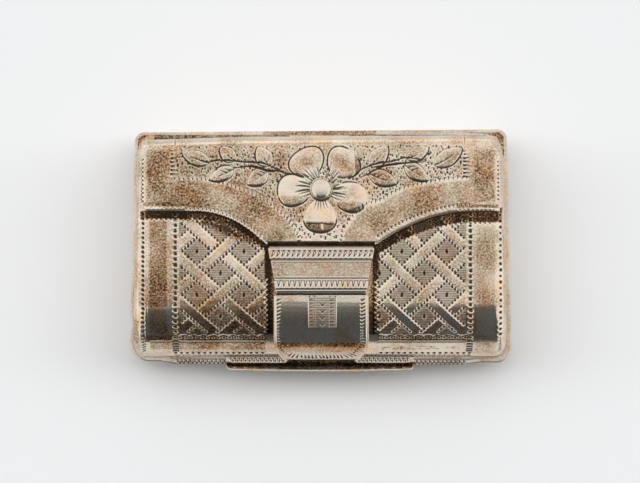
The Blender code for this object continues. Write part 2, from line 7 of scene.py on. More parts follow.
import bmesh
import bpy
import numpy as np
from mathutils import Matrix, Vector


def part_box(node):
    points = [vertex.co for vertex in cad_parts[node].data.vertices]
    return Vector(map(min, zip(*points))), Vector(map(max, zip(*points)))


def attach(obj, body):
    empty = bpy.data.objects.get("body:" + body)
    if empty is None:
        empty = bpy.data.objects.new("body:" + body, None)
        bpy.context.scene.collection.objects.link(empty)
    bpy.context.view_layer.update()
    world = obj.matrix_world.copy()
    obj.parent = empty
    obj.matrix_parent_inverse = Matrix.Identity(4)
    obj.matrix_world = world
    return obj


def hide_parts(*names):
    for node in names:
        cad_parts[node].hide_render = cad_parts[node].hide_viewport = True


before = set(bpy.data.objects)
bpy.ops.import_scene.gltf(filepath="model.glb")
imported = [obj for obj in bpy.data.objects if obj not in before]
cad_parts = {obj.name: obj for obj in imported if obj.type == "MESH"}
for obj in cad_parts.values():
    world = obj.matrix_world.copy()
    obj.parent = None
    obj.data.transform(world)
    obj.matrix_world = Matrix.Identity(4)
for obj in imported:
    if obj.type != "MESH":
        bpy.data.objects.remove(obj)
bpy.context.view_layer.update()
bpy.context.scene.view_settings.view_transform = "Standard"

# The lid's shell. One sheet of silver raised over a stake, its front a quarter round, its other edges
# rolled small. It is chased on the outside with a woven lattice between plain bands, and fire-gilt
# inside. The skin outside is a fine grid that carries the tool marks as real relief.

MM = 0.001
LID = {"half_back": 15.152, "half_front": 15.576, "back": 8.49, "front": -9.27, "low": 3.63,
       "high": 8.80, "front_roll": 4.4, "edge_roll": 0.95}
LID_SHEET = 0.45
FLAP_RISE = 0.36
TONGUE_RISE = 0.36
# Rows on the walls and columns on the side rolls; the inner skin has every fourth of each
WALL_STEPS, ROLL_STEPS, INNER_STEP = 8, 20, 4
# Lengths that differ by less are the same
NEARLY = 0.0055


def half_at(form, y):
    """Half the form's width at y."""
    along = (form["back"] - y) / (form["back"] - form["front"])
    return form["half_back"] + along * (form["half_front"] - form["half_back"])


def section(form, run, rise, offset):
    """Places and directions on the form's middle section, for lengths unrolled from its flat.

    run is y itself on the flat, and goes on as arc length down the rolls and the walls.
    """
    front_radius, back_radius = form["front_roll"] + rise, form["edge_roll"] + rise
    front_y, back_y = form["front"] + form["front_roll"], form["back"] - form["edge_roll"]
    front_z, back_z = form["high"] - form["front_roll"], form["high"] - form["edge_roll"]
    ahead, behind = np.maximum(front_y - run, 0), np.maximum(run - back_y, 0)
    turn_front = np.minimum(ahead / front_radius, math.pi / 2)
    turn_back = np.minimum(behind / back_radius, math.pi / 2)
    below = (ahead - turn_front * front_radius) + (behind - turn_back * back_radius)
    y = np.clip(run, front_y, back_y)
    y = y - np.sin(turn_front) * (front_radius - offset) + np.sin(turn_back) * (back_radius - offset)
    z = np.where(ahead > 0, front_z + np.cos(turn_front) * (front_radius - offset),
                 back_z + np.cos(turn_back) * (back_radius - offset)) - below
    return y, z, np.sin(turn_back) - np.sin(turn_front), np.cos(turn_front + turn_back)


def grid(x, y, z):
    """Points from coordinates that broadcast to one grid."""
    return np.stack(np.broadcast_arrays(x, y, z), axis=-1)


def placed(form, run, spread, turn, rise, offset=0.0):
    """Points on a form: run along its section, spread over its flat, turn down its side rolls."""
    y, z, out_y, out_z = section(form, run, rise, offset)
    roll = form["edge_roll"] + rise - offset
    drop = roll * (1 - np.cos(turn))
    y, z = y - out_y * drop, z - out_z * drop
    return grid(spread * (half_at(form, y) - form["edge_roll"]) + np.sin(turn) * roll, y, z)


def section_runs(form, rise, flat, back_steps, front_steps, wall_steps):
    """Runs from the foot of the back wall to the foot of the front one."""
    back_arc = (form["edge_roll"] + rise) * math.pi / 2
    front_arc = (form["front_roll"] + rise) * math.pi / 2
    back_wall = form["high"] - form["edge_roll"] - form["low"]
    front_wall = form["high"] - form["front_roll"] - form["low"]
    return np.concatenate([
        flat[0] + back_arc + np.linspace(back_wall, 0, wall_steps + 1)[:-1],
        flat[0] + np.linspace(back_arc, 0, back_steps + 1)[:-1],
        flat,
        flat[-1] - np.linspace(0, front_arc, front_steps + 1)[1:],
        flat[-1] - front_arc - np.linspace(0, front_wall, wall_steps + 1)[1:],
    ])


# Where the soft start begins, its slant, reach and slope, and the heights between which it fades
SOFT_FROM, SOFT_SLANT, SOFT_REACH, SOFT_SLOPE = -4.58, -0.0145, 0.6, 0.04
SOFT_LOW, SOFT_HIGH = 4.5, 7.5


def soft_start(points):
    """Lets a skin down a little just behind the lid's front roll, which starts softly, sooner on the left.

    The drop fades towards the foot, so that the lid still stands on its seat.
    """
    x, y, z = np.moveaxis(points, -1, 0)
    faded = np.clip((z - SOFT_LOW) / (SOFT_HIGH - SOFT_LOW), 0, 1)
    z -= SOFT_SLOPE * np.clip(SOFT_FROM + SOFT_SLANT * x - y, 0, SOFT_REACH) * faded
    return points


def raised_skin(form, runs, spreads, roll_steps, wall_steps, rise, offset=0.0):
    """The form's whole skin as a grid, from the foot of one side wall over to the other."""
    turns = np.linspace(0, math.pi / 2, roll_steps + 1)[1:]
    turn = np.concatenate([-turns[::-1], 0 * spreads, turns])
    spread = np.concatenate([-np.ones(roll_steps), spreads, np.ones(roll_steps)])
    middle = placed(form, runs[:, None], spread[None, :], turn[None, :], rise, offset)
    back_arc = form["back"] - form["edge_roll"] + (form["edge_roll"] + rise) * math.pi / 2
    front_arc = form["front"] + form["front_roll"] - (form["front_roll"] + rise) * math.pi / 2
    sides = []
    for edge in (middle[:, 0], middle[:, -1]):
        foot = np.where(runs > back_arc - NEARLY, form["high"] - form["edge_roll"],
                        np.where(runs < front_arc + NEARLY, form["high"] - form["front_roll"],
                                 edge[:, 2]))
        share = np.arange(1, wall_steps + 1) / wall_steps
        wall = np.repeat(edge[:, None, :], wall_steps, axis=1)
        level = foot[:, None] + (form["low"] - foot[:, None]) * share[None, :]
        wall[:, :, 2] = np.minimum(edge[:, 2:3], level)
        sides.append(wall)
    return np.concatenate([sides[0][:, ::-1], middle, sides[1]], axis=1)


def lifted(points, height):
    """A skin with its points moved out along its own normals."""
    normal = np.cross(np.gradient(points, axis=0), np.gradient(points, axis=1))
    size = np.linalg.norm(normal, axis=-1, keepdims=True)
    return points + normal / np.maximum(size, 1e-12) * (size > 1e-9) * height[..., None]


def in_scene(name, data):
    """A new object that carries a mesh or a camera, put in the scene."""
    made = bpy.data.objects.new(name, data)
    bpy.context.scene.collection.objects.link(made)
    return made


def closed_sheet(name, outer, inner, step, marks, materials):
    """A sheet of real thickness: a fine outer skin, a coarse inner one, and the edge between them."""
    rows, columns = outer.shape[:2]
    inner_rows, inner_columns = inner.shape[:2]
    top = np.arange(rows * columns).reshape(rows, columns)
    low = np.arange(inner_rows * inner_columns).reshape(inner_rows, inner_columns) + rows * columns
    faces = np.stack([top[:-1, :-1], top[1:, :-1], top[1:, 1:], top[:-1, 1:]], -1).reshape(-1, 4).tolist()
    outside = len(faces)
    faces += np.stack([low[:-1, :-1], low[:-1, 1:], low[1:, 1:], low[1:, :-1]], -1).reshape(-1, 4).tolist()
    inside = len(faces)
    for fine, coarse in ((top[0, ::-1], low[0, ::-1]), (top[-1], low[-1]),
                         (top[:, 0], low[:, 0]), (top[::-1, -1], low[::-1, -1])):
        for k in range(len(coarse) - 1):
            faces.append(fine[step * k:step * k + step + 1].tolist()[::-1]
                         + [int(coarse[k]), int(coarse[k + 1])])
    mesh = bpy.data.meshes.new(name)
    points = np.concatenate([outer.reshape(-1, 3), inner.reshape(-1, 3)]) * MM
    mesh.from_pydata(points, [], faces)
    mesh.polygons.foreach_set("material_index", [int(outside <= k < inside) for k in range(len(faces))])
    # The colours carry cut depth, tarnish with painted shade and highlight, hatching and run
    colours = np.zeros((len(points), 4), np.float32)
    colours[:rows * columns] = marks.reshape(-1, 4)
    mesh.attributes.new("chasing_and_painted_light", "FLOAT_COLOR", "POINT").data.foreach_set("color", colours.ravel())
    bm = bmesh.new()
    bm.from_mesh(mesh)
    bmesh.ops.remove_doubles(bm, verts=bm.verts, dist=0.0006 * MM)
    bmesh.ops.recalc_face_normals(bm, faces=bm.faces)
    bm.to_mesh(mesh)
    bm.free()
    for material in materials:
        mesh.materials.append(material)
    mesh.shade_smooth()
    mesh.set_sharp_from_angle(angle=math.radians(70))
    return in_scene(name, mesh)


# The chaser's drawing: layers of tool marks, tarnish and painted light and shade on a flat board, read off
# at each point of a skin
BOARD_PITCH = 0.03
BOARD_LEFT, BOARD_BACK, BOARD_WIDE, BOARD_LONG = -16.5, 12.0, 33.0, 27.0
# What makes hand work uneven
hand = np.random.default_rng(1820)


def new_board():
    """An empty board: depth of cuts, lift of raised work, tarnish with painted shade and highlight, fine
    hatching, and bright cuts painted as glints.
    """
    shape = (int(BOARD_LONG / BOARD_PITCH), int(BOARD_WIDE / BOARD_PITCH))
    return {layer: np.zeros(shape) for layer in ("cut", "lift", "tarnish", "hatch", "bright")}


def cells_round(points, margin):
    """The part of a board round some points, as a window and the places of its cells."""
    xs, ys = [p[0] for p in points], [p[1] for p in points]
    left = max(0, int((min(xs) - margin - BOARD_LEFT) / BOARD_PITCH))
    right = max(0, int((max(xs) + margin - BOARD_LEFT) / BOARD_PITCH) + 2)
    back = max(0, int((BOARD_BACK - max(ys) - margin) / BOARD_PITCH))
    front = max(0, int((BOARD_BACK - min(ys) + margin) / BOARD_PITCH) + 2)
    right = min(right, int(BOARD_WIDE / BOARD_PITCH))
    front = min(front, int(BOARD_LONG / BOARD_PITCH))
    window = (slice(back, front), slice(left, right))
    row, column = np.mgrid[window]
    return window, BOARD_LEFT + column * BOARD_PITCH, BOARD_BACK - row * BOARD_PITCH


def at_least(layer, window, mark):
    """Brings a layer up to a mark wherever it is less."""
    layer[window] = np.maximum(layer[window], mark)


def tinted(board, left, right, back, front, share):
    """Sets the tarnish with its painted shade and highlight in a rectangle; share is a number, or a
    function of x, y and the value there.
    """
    window, x, y = cells_round([(left, back), (right, front)], 0)
    there = board["tarnish"][window]
    board["tarnish"][window] = share(x, y, there) if callable(share) else share


def cut(board, start, end, width, depth, end_width=None, layer="cut"):
    """One cut of the graver, its width changing evenly from start to end."""
    end_width = width if end_width is None else end_width
    window, x, y = cells_round([start, end], max(width, end_width))
    dx, dy = end[0] - start[0], end[1] - start[1]
    along = np.clip(((x - start[0]) * dx + (y - start[1]) * dy) / max(dx * dx + dy * dy, 1e-9), 0, 1)
    off = np.hypot(x - start[0] - along * dx, y - start[1] - along * dy)
    half = (width + (end_width - width) * along) / 2 + 1e-6
    mark = np.clip(1 - (off / half) ** 2, 0, 1) * depth * half / (max(width, end_width) / 2)
    at_least(board[layer], window, mark)


def line(board, points, widths, depth, layer="cut"):
    """A running cut through points, its width swelling as the graver is pressed."""
    widths = np.interp(np.linspace(0, 1, len(points)), np.linspace(0, 1, len(widths)), widths)
    for k in range(len(points) - 1):
        cut(board, points[k], points[k + 1], widths[k], depth * max(widths[k:k + 2]) / max(widths),
            widths[k + 1], layer)


def punch(board, centre, radius, depth, long=1.0, lean=0.0, taper=0.0):
    """A dent, long along the lean; with a taper it is a drop that runs to a point that way."""
    window, x, y = cells_round([centre], radius * max(long, 1) * 1.3)
    x, y = x - centre[0], y - centre[1]
    along = (x * math.cos(lean) + y * math.sin(lean)) / (radius * long)
    aside = (y * math.cos(lean) - x * math.sin(lean)) / radius / np.clip(1 - taper * along, 0.05, None)
    at_least(board["cut"], window, np.clip(1 - np.hypot(along, aside) ** 2, 0, 1) * depth)


def spaced(path, pitch):
    """Places every pitch along a path, each with the path's direction."""
    path = np.array(path, float)
    legs = np.diff(path, axis=0)
    lengths = np.hypot(legs[:, 0], legs[:, 1])
    run = np.concatenate([[0], np.cumsum(lengths)])
    count = max(1, int(round(run[-1] / pitch)))
    at = (np.arange(count) + 0.5) * run[-1] / count
    leg = np.clip(np.searchsorted(run, at) - 1, 0, len(legs) - 1)
    return [(np.interp(t, run, path[:, 0]), np.interp(t, run, path[:, 1]),
             legs[k][0] / lengths[k], legs[k][1] / lengths[k]) for t, k in zip(at, leg)]


def smooth(points):
    """A smooth curve through points."""
    points = [np.array(p, float) for p in points]
    points = [2 * points[0] - points[1]] + points + [2 * points[-1] - points[-2]]
    curve = []
    for a, b, c, d in zip(points, points[1:], points[2:], points[3:]):
        for t in np.arange(6) / 6:
            curve.append(0.5 * (2 * b + (c - a) * t + (2 * a - 5 * b + 4 * c - d) * t ** 2
                                + (3 * b - a - 3 * c + d) * t ** 3))
    return curve + [points[-2]]


def ticks(board, path, pitch, reach, width, depth, slant=0.0, glint=0.0):
    """A border of short cuts across a path, each starting wide and running out, with a glint painted
    between.
    """
    for x, y, dx, dy in spaced(path, pitch):
        wander = hand.normal(0, 0.08)
        lean = math.atan2(dx, -dy) + slant + wander
        half = reach / 2 * (1 + hand.normal(0, 0.1))
        ax, ay = math.cos(lean) * half, math.sin(lean) * half
        cut(board, (x - ax, y - ay), (x + ax, y + ay), width, depth, width * 0.25)
        if glint:
            x, y = x + dx * pitch / 2, y + dy * pitch / 2
            cut(board, (x - ax, y - ay), (x + ax, y + ay), width * 0.7, glint, width * 0.4, "bright")


def wriggle(board, path, pitch, reach, width, depth, layer="cut"):
    """A wriggled line: the graver rocked from side to side as it goes along a path."""
    side, last = 1, None
    for x, y, dx, dy in spaced(path, pitch / 2):
        here = (x - dy * side * reach / 2, y + dx * side * reach / 2)
        if last:
            cut(board, last, here, width, depth, width * 0.5, layer)
        side, last = -side, here


def drops(board, path, pitch, radius, depth, long=1.0, lean=0.0, taper=0.0):
    """A row of punched drops along a path."""
    for x, y, _, _ in spaced(path, pitch):
        size = radius * (1 + hand.normal(0, 0.07))
        punch(board, (x + hand.normal(0, 0.012), y), size, depth, long, lean + hand.normal(0, 0.12), taper)


def softened(layer, times=1):
    """A layer with its cells mixed with their neighbours."""
    for _ in range(times):
        layer = (layer + np.roll(layer, 1, 0) + np.roll(layer, -1, 0)) / 3
        layer = (layer + np.roll(layer, 1, 1) + np.roll(layer, -1, 1)) / 3
    return layer


def read_off(layer, x, run):
    """A layer's values at places on a skin."""
    column = np.clip((x - BOARD_LEFT) / BOARD_PITCH, 0, layer.shape[1] - 1.001)
    row = np.clip((BOARD_BACK - run) / BOARD_PITCH, 0, layer.shape[0] - 1.001)
    c, r = column.astype(int), row.astype(int)
    across, along = column - c, row - r
    return ((layer[r, c] * (1 - across) + layer[r, c + 1] * across) * (1 - along)
            + (layer[r + 1, c] * (1 - across) + layer[r + 1, c + 1] * across) * along)


# A cut this deep is black, and one this deep has its lip lightened in full
FULL_CUT, LIGHT_LIP_CUT = 0.07, 0.02
# What is taken off the tarnish at a lip, rubbed and painted lighter as a highlight, at a lip in dirt and
# painted shade, and at a bright cut painted lighter as a glint; and how deep a bright cut is
LIP_LIGHTENED, SHADED_LIP_LIGHTENED, BRIGHT_CUT_GLINT, BRIGHT_DEPTH = 0.3, 0.6, 1.6, 0.03


def marked(board, points, run):
    """A skin's points with the board's relief, and the colours that tell the finish where it is.

    Along the lip of every cut the metal is rubbed and painted lighter as a highlight, the more in painted
    shade; a bright cut keeps no oxide and is painted lighter as a glint.
    """
    x = points[..., 0]
    run = np.broadcast_to(run, x.shape)
    deep = read_off(softened(board["cut"]), x, run)
    raised = read_off(softened(board["lift"], 2), x, run)
    bright = np.clip(read_off(softened(board["bright"]), x, run), 0, 1)
    lip = np.clip(read_off(softened(board["cut"], 9), x, run) / LIGHT_LIP_CUT, 0, 1)
    tarnish = read_off(softened(board["tarnish"], 2), x, run)
    tarnish = tarnish - np.where(tarnish < 1, LIP_LIGHTENED, SHADED_LIP_LIGHTENED) * lip - BRIGHT_CUT_GLINT * bright
    marks = np.stack([np.clip(deep / FULL_CUT, 0, 1) * (1 - bright), np.clip(tarnish, -0.3, 2),
                      read_off(board["hatch"], x, run), run], axis=-1)
    return lifted(points, raised - deep - BRIGHT_DEPTH * bright), marks


# Diamonds are 3.9 x 3.6 mm from point to point; 0.38 of each step is plain strip
STRIP_SHARE = 0.38
PUNCHES_PER_STEP = 8


def lattice(board, left, right, back, front, middle, step_x, step_y):
    """Woven strips over hatched diamonds; back is a function of x, where the flap's edge comes."""
    half_strip = STRIP_SHARE / 2
    window, x, y = cells_round([(left, 3.0), (right, front)], 0.5)
    a = ((x - middle[0]) / step_x + (y - middle[1]) / step_y) / 2
    b = ((x - middle[0]) / step_x - (y - middle[1]) / step_y) / 2
    inside = (x > left) & (x < right) & (y > front) & (y < back(x))
    off_a, off_b = np.abs(a - np.round(a)), np.abs(b - np.round(b))
    diamond = inside & (off_a < 0.5 - half_strip) & (off_b < 0.5 - half_strip)
    first_over = (np.floor(a) + np.floor(b)) % 2 == 0
    at_least(board["hatch"], window, diamond)
    crown_a = np.clip((off_a - 0.5 + half_strip) / half_strip, 0, 1)
    crown_b = np.clip((off_b - 0.5 + half_strip) / half_strip, 0, 1)
    over = np.where((crown_a > 0) & (crown_b > 0), np.where(first_over, crown_b, crown_a),
                    np.maximum(crown_a, crown_b))
    board["lift"][window] += inside * 0.028 * np.clip(2.5 * over, 0, 1)

    def at(u, v):
        return middle[0] + (u + v) * step_x, middle[1] + (u - v) * step_y

    def clear(point, margin=0.06):
        return (left + margin < point[0] < right - margin
                and front + margin < point[1] < back(point[0]) - margin)

    for m, n in np.ndindex(16, 16):
        m, n = m - 8, n - 8
        if clear(at(m, n), -0.1):
            punch(board, at(m, n), 0.15, 0.12, 1.7, math.pi / 2 + hand.normal(0, 0.15))
        for k in range(PUNCHES_PER_STEP):
            along = (k + 0.5) / PUNCHES_PER_STEP
            crossing = abs(along - 0.5) < half_strip
            for edge in (-half_strip, half_strip):
                for first in (True, False):
                    place = at(m + along, n + 0.5 + edge) if first else at(m + 0.5 + edge, n + along)
                    hidden = crossing and first != ((m + n) % 2 == 0)
                    if not hidden and clear(place):
                        punch(board, place, 0.145 * (1 + hand.normal(0, 0.1)), 0.09)
        near = [at(m + 0.5 + i * half_strip, n + 0.5 + j * half_strip)
                for i, j in ((-1, -1), (1, -1), (1, 1), (-1, 1))]
        across = ((near[0], near[3]), (near[1], near[2]))
        for start, end in across if (m + n) % 2 else ((near[0], near[1]), (near[3], near[2])):
            if clear(start) and clear(end):
                cut(board, start, end, 0.08, 0.035)


EDGE_AT_SIDES, EDGE_FALL = 2.92, 2.8


def flap_edge(x):
    """Where the flap's lower edge comes on the lid: straight at the sides, curved to the strap."""
    left, right = 1 - np.clip((-4.35 - x) / 6.4, 0, 1), 1 - np.clip((x - 4.55) / 8.1, 0, 1)
    return EDGE_AT_SIDES - EDGE_FALL * np.where(x < 0, left ** 2.3, right ** 1.95)


def along_edge(left, right, count, off):
    """Points along the flap's edge, set off it towards the back."""
    return [(x, float(flap_edge(x)) + off) for x in np.linspace(left, right, count)]


lid_board = new_board()
lid_board["tarnish"][:] = 0.3
# Dirt with painted shade: the darkest tone, laid in corners, gaps and grooves where shade falls
DIRT_AND_PAINTED_SHADE = 1.5
PANELS = (
    # left, right, lattice's middle and steps, drop column outside and inside, tarnished band, drops'
    # pitch, and how far the dirt and painted shadow reach from the flap's edge
    (-11.7, -4.55, (-10.2, -0.41), 1.95, 1.80, -14.66, -12.0, (-14.1, -12.75, 0.7), 0.395, 0.76),
    (4.85, 12.1, (6.78, -0.41), 1.86, 1.80, 15.0, 12.45, (13.0, 14.45, 0.44), 0.5, 1.05),
)
COLUMN_BACK, LATTICE_FOOT, BAND_TOP = 2.9, -7.43, -8.12
# On the steep lower part of the roll the work is cut longer, so that it reads from above
RUNGS = ((-7.75, 0.13), (-8.1, 0.14), (-8.48, 0.16), (-8.83, 0.17), (-9.2, 0.19), (-9.52, 0.22))
DASH_RUN, WRIGGLE_RUN, WRIGGLE_REACH, LINE_RUN, FRONT_FOOT = -10.02, -10.95, 0.95, -11.75, -12.3
for left, right, middle, step_x, step_y, outer_column, inner_column, band, drop_pitch, reach in PANELS:
    lattice(lid_board, left, right, lambda x: flap_edge(x) - 0.15, LATTICE_FOOT, middle, step_x, step_y)
    drops(lid_board, [(outer_column, COLUMN_BACK), (outer_column, LATTICE_FOOT - 0.3)], drop_pitch, 0.17,
          0.1, 1.1, math.pi / 2 - 0.4, 0.7)
    drops(lid_board, [(inner_column, COLUMN_BACK), (inner_column, LATTICE_FOOT)], 0.475, 0.16, 0.1, 1.5,
          math.pi, 0.6)
    for x in (outer_column - 0.3, outer_column + 0.3):
        cut(lid_board, (x, COLUMN_BACK), (x, LATTICE_FOOT), 0.06, 0.02)
    cut(lid_board, (inner_column, RUNGS[-1][0] - 0.4), (inner_column, FRONT_FOOT), 0.12, 0.06)
    cut(lid_board, (outer_column, LATTICE_FOOT - 0.5), (outer_column, FRONT_FOOT), 0.1, 0.05)
    for run, tall in RUNGS:
        cut(lid_board, (inner_column - 0.22, run), (inner_column + 0.22, run), tall, 0.09)
        cut(lid_board, (outer_column - 0.13, run - 0.2), (outer_column + 0.13, run), tall * 0.8, 0.07)
    tinted(lid_board, *band[:2], COLUMN_BACK, LATTICE_FOOT,
           lambda x, y, _: np.where((left > 0) & (y < -5.2), 0.1, band[2]))
    tinted(lid_board, *band[:2], -8.4, -9.8, 0.45)
    side = math.copysign(1, left)
    tongue_side = right if left < 0 else left
    # Painted shadow beside the raised tongue, with shallow wriggles in it painted lighter as glints
    tinted(lid_board, tongue_side, tongue_side - side * 0.5, 0.1, LATTICE_FOOT, DIRT_AND_PAINTED_SHADE)
    for off, high in ((0.06, 0.22), (0.48, 0.08)) if left < 0 else ((0.13, 0.3),):
        x = tongue_side - side * off
        wriggle(lid_board, [(x, -2.6), (x, LATTICE_FOOT)], 0.42, high, 0.13, 1.7, "bright")
    # A shallow wriggle painted lighter as a glint along the foot of the dirt and painted shadow under the
    # flap's edge
    shade_edge_line = along_edge(outer_column, tongue_side, 40, 0.05 - reach)
    wriggle(lid_board, shade_edge_line, 0.4, 0.2, 0.1, 1.0, "bright")
    wide = sorted((inner_column + side * 0.3, tongue_side))
    # Painted shade across the lattice's foot, where the roll mirrors the dark room, so that the dark band
    # ends sharply
    dark_band_from = outer_column if left < 0 else inner_column
    tinted(lid_board, dark_band_from, tongue_side, LATTICE_FOOT - 0.15, BAND_TOP, 0.9)
    # A shallow wriggle at the lattice's foot, painted lighter as a glint
    wriggle(lid_board, [(x, LATTICE_FOOT - 0.12) for x in wide], 0.8, 0.16, 0.14, 1.5, "bright")
    drops(lid_board, [(x, LATTICE_FOOT - 0.38) for x in wide], 0.45, 0.13, 0.12, 1.2)
    for x, y, _, _ in spaced([(x, DASH_RUN) for x in wide], 0.5):
        punch(lid_board, (x, y), 0.16, 0.16, 1.5, math.pi / 2)
    wriggle(lid_board, [(x, WRIGGLE_RUN) for x in wide], 0.42, WRIGGLE_REACH, 0.13, 0.12)
    # A broad line near the front edge, painted lighter as a highlight
    cut(lid_board, (wide[0], LINE_RUN), (wide[1], LINE_RUN), 0.3, 1.0, layer="bright")


def dirt_and_shadow_under_flap(x, y, there):
    """The dirt and painted shadow along the flap's edge, which reach further in the middle of the left
    side.
    """
    below = flap_edge(x) - y
    for x_sign, panel in zip((-1, 1), PANELS):
        widened = (x_sign < 0) * 1.1 * np.exp(-((x + 7.8) / 2.4) ** 2)
        dirty_and_shaded = DIRT_AND_PAINTED_SHADE * np.clip((panel[9] + widened - below) / (0.2 + 0.6 * widened), 0, 1)
        dirty_and_shaded = dirty_and_shaded * (below > -0.3) * (np.abs(x - 0.1) < 15)
        there = np.maximum(there, dirty_and_shaded * (x * x_sign > 0))
    return there


def browner_and_shaded_to_front(x, y, there):
    """Towards the rolled front the lid is handled less and is browner; on the left, where the roll mirrors
    the dark room, more is added as painted shade.
    """
    more = np.where(x < 0, 0.32 * np.clip((-1.0 - y) / 3.4, 0, 1), 0.1 * np.clip((-3.2 - y) / 1.4, 0, 1))
    more = np.where(y > -5, more, (more + 0.16 * (x < 0)) * (np.abs(x) < 12.2))
    return there + more * (there < 1)


tinted(lid_board, -15, 15.2, 3.2, -1.0, dirt_and_shadow_under_flap)
tinted(lid_board, -15, 15, -1.0, LATTICE_FOOT, browner_and_shaded_to_front)
# A golden band runs above the front edge, stained on the right: left, right, tarnish, foot, tarnish below
for left, right, share, foot, lower in ((-14.1, -4.6, 0.74, -9.3, 0.42), (4.9, 12.0, 0.2, -9.1, 0.1)):
    tinted(lid_board, left, right, BAND_TOP - 0.16, DASH_RUN + 0.2,
           lambda x, y, _: np.where(y > foot, share, lower))
    # A bright line along the band's top, painted lighter as a highlight
    cut(lid_board, (left, BAND_TOP - 0.08), (right, BAND_TOP - 0.08), 0.14, 0.4, layer="bright")
for run in (-8.9, -9.15):
    stain = [(x, run + hand.normal(0, 0.06)) for x in np.linspace(5.2, 11.6, 26)]
    line(lid_board, stain, hand.uniform(0.06, 0.3, 26), 1.0, "tarnish")
tinted(lid_board, -15.9, -15.1, -6.1, -8.7, 0.6)


def linear(code):
    """An sRGB hex colour in linear light."""
    parts = [int(code[k:k + 2], 16) / 255 for k in (0, 2, 4)]
    return [p / 12.92 if p <= 0.04045 else ((p + 0.055) / 1.055) ** 2.4 for p in parts] + [1.0]


def feed(tree, node, values):
    """Feeds a node's sockets: a node or socket among the values is linked, anything else is set."""
    for socket, value in values.items():
        if isinstance(value, bpy.types.Node):
            value = value.outputs[0]
        if isinstance(value, bpy.types.NodeSocket):
            tree.links.new(value, node.inputs[socket])
        else:
            node.inputs[socket].default_value = value


def add_node(tree, kind, values=None, stops=(), **settings):
    """A node with its settings and what feeds it.

    A colour ramp's stops are its two ends and then any between them, as (position, hex colour).
    """
    node = tree.nodes.new("ShaderNode" + kind)
    for name, value in settings.items():
        setattr(node, name, value)
    for k, (position, colour) in enumerate(stops):
        stop = node.color_ramp.elements[k] if k < 2 else node.color_ramp.elements.new(position)
        stop.position, stop.color = position, linear(colour)
    feed(tree, node, values or {})
    return node


def new_material(name):
    """A material, its node tree and its shader."""
    made = bpy.data.materials.new(name)
    made.use_nodes = True
    return made, made.node_tree, made.node_tree.nodes["Principled BSDF"]


# Widths in mm
SPECKLE, CLOUD, STAIN, SCRATCH, HATCH_PITCH = 0.16, 2.4, 1.9, 0.12, 0.145
MOST_TARNISH_AND_SHADE = 1.6


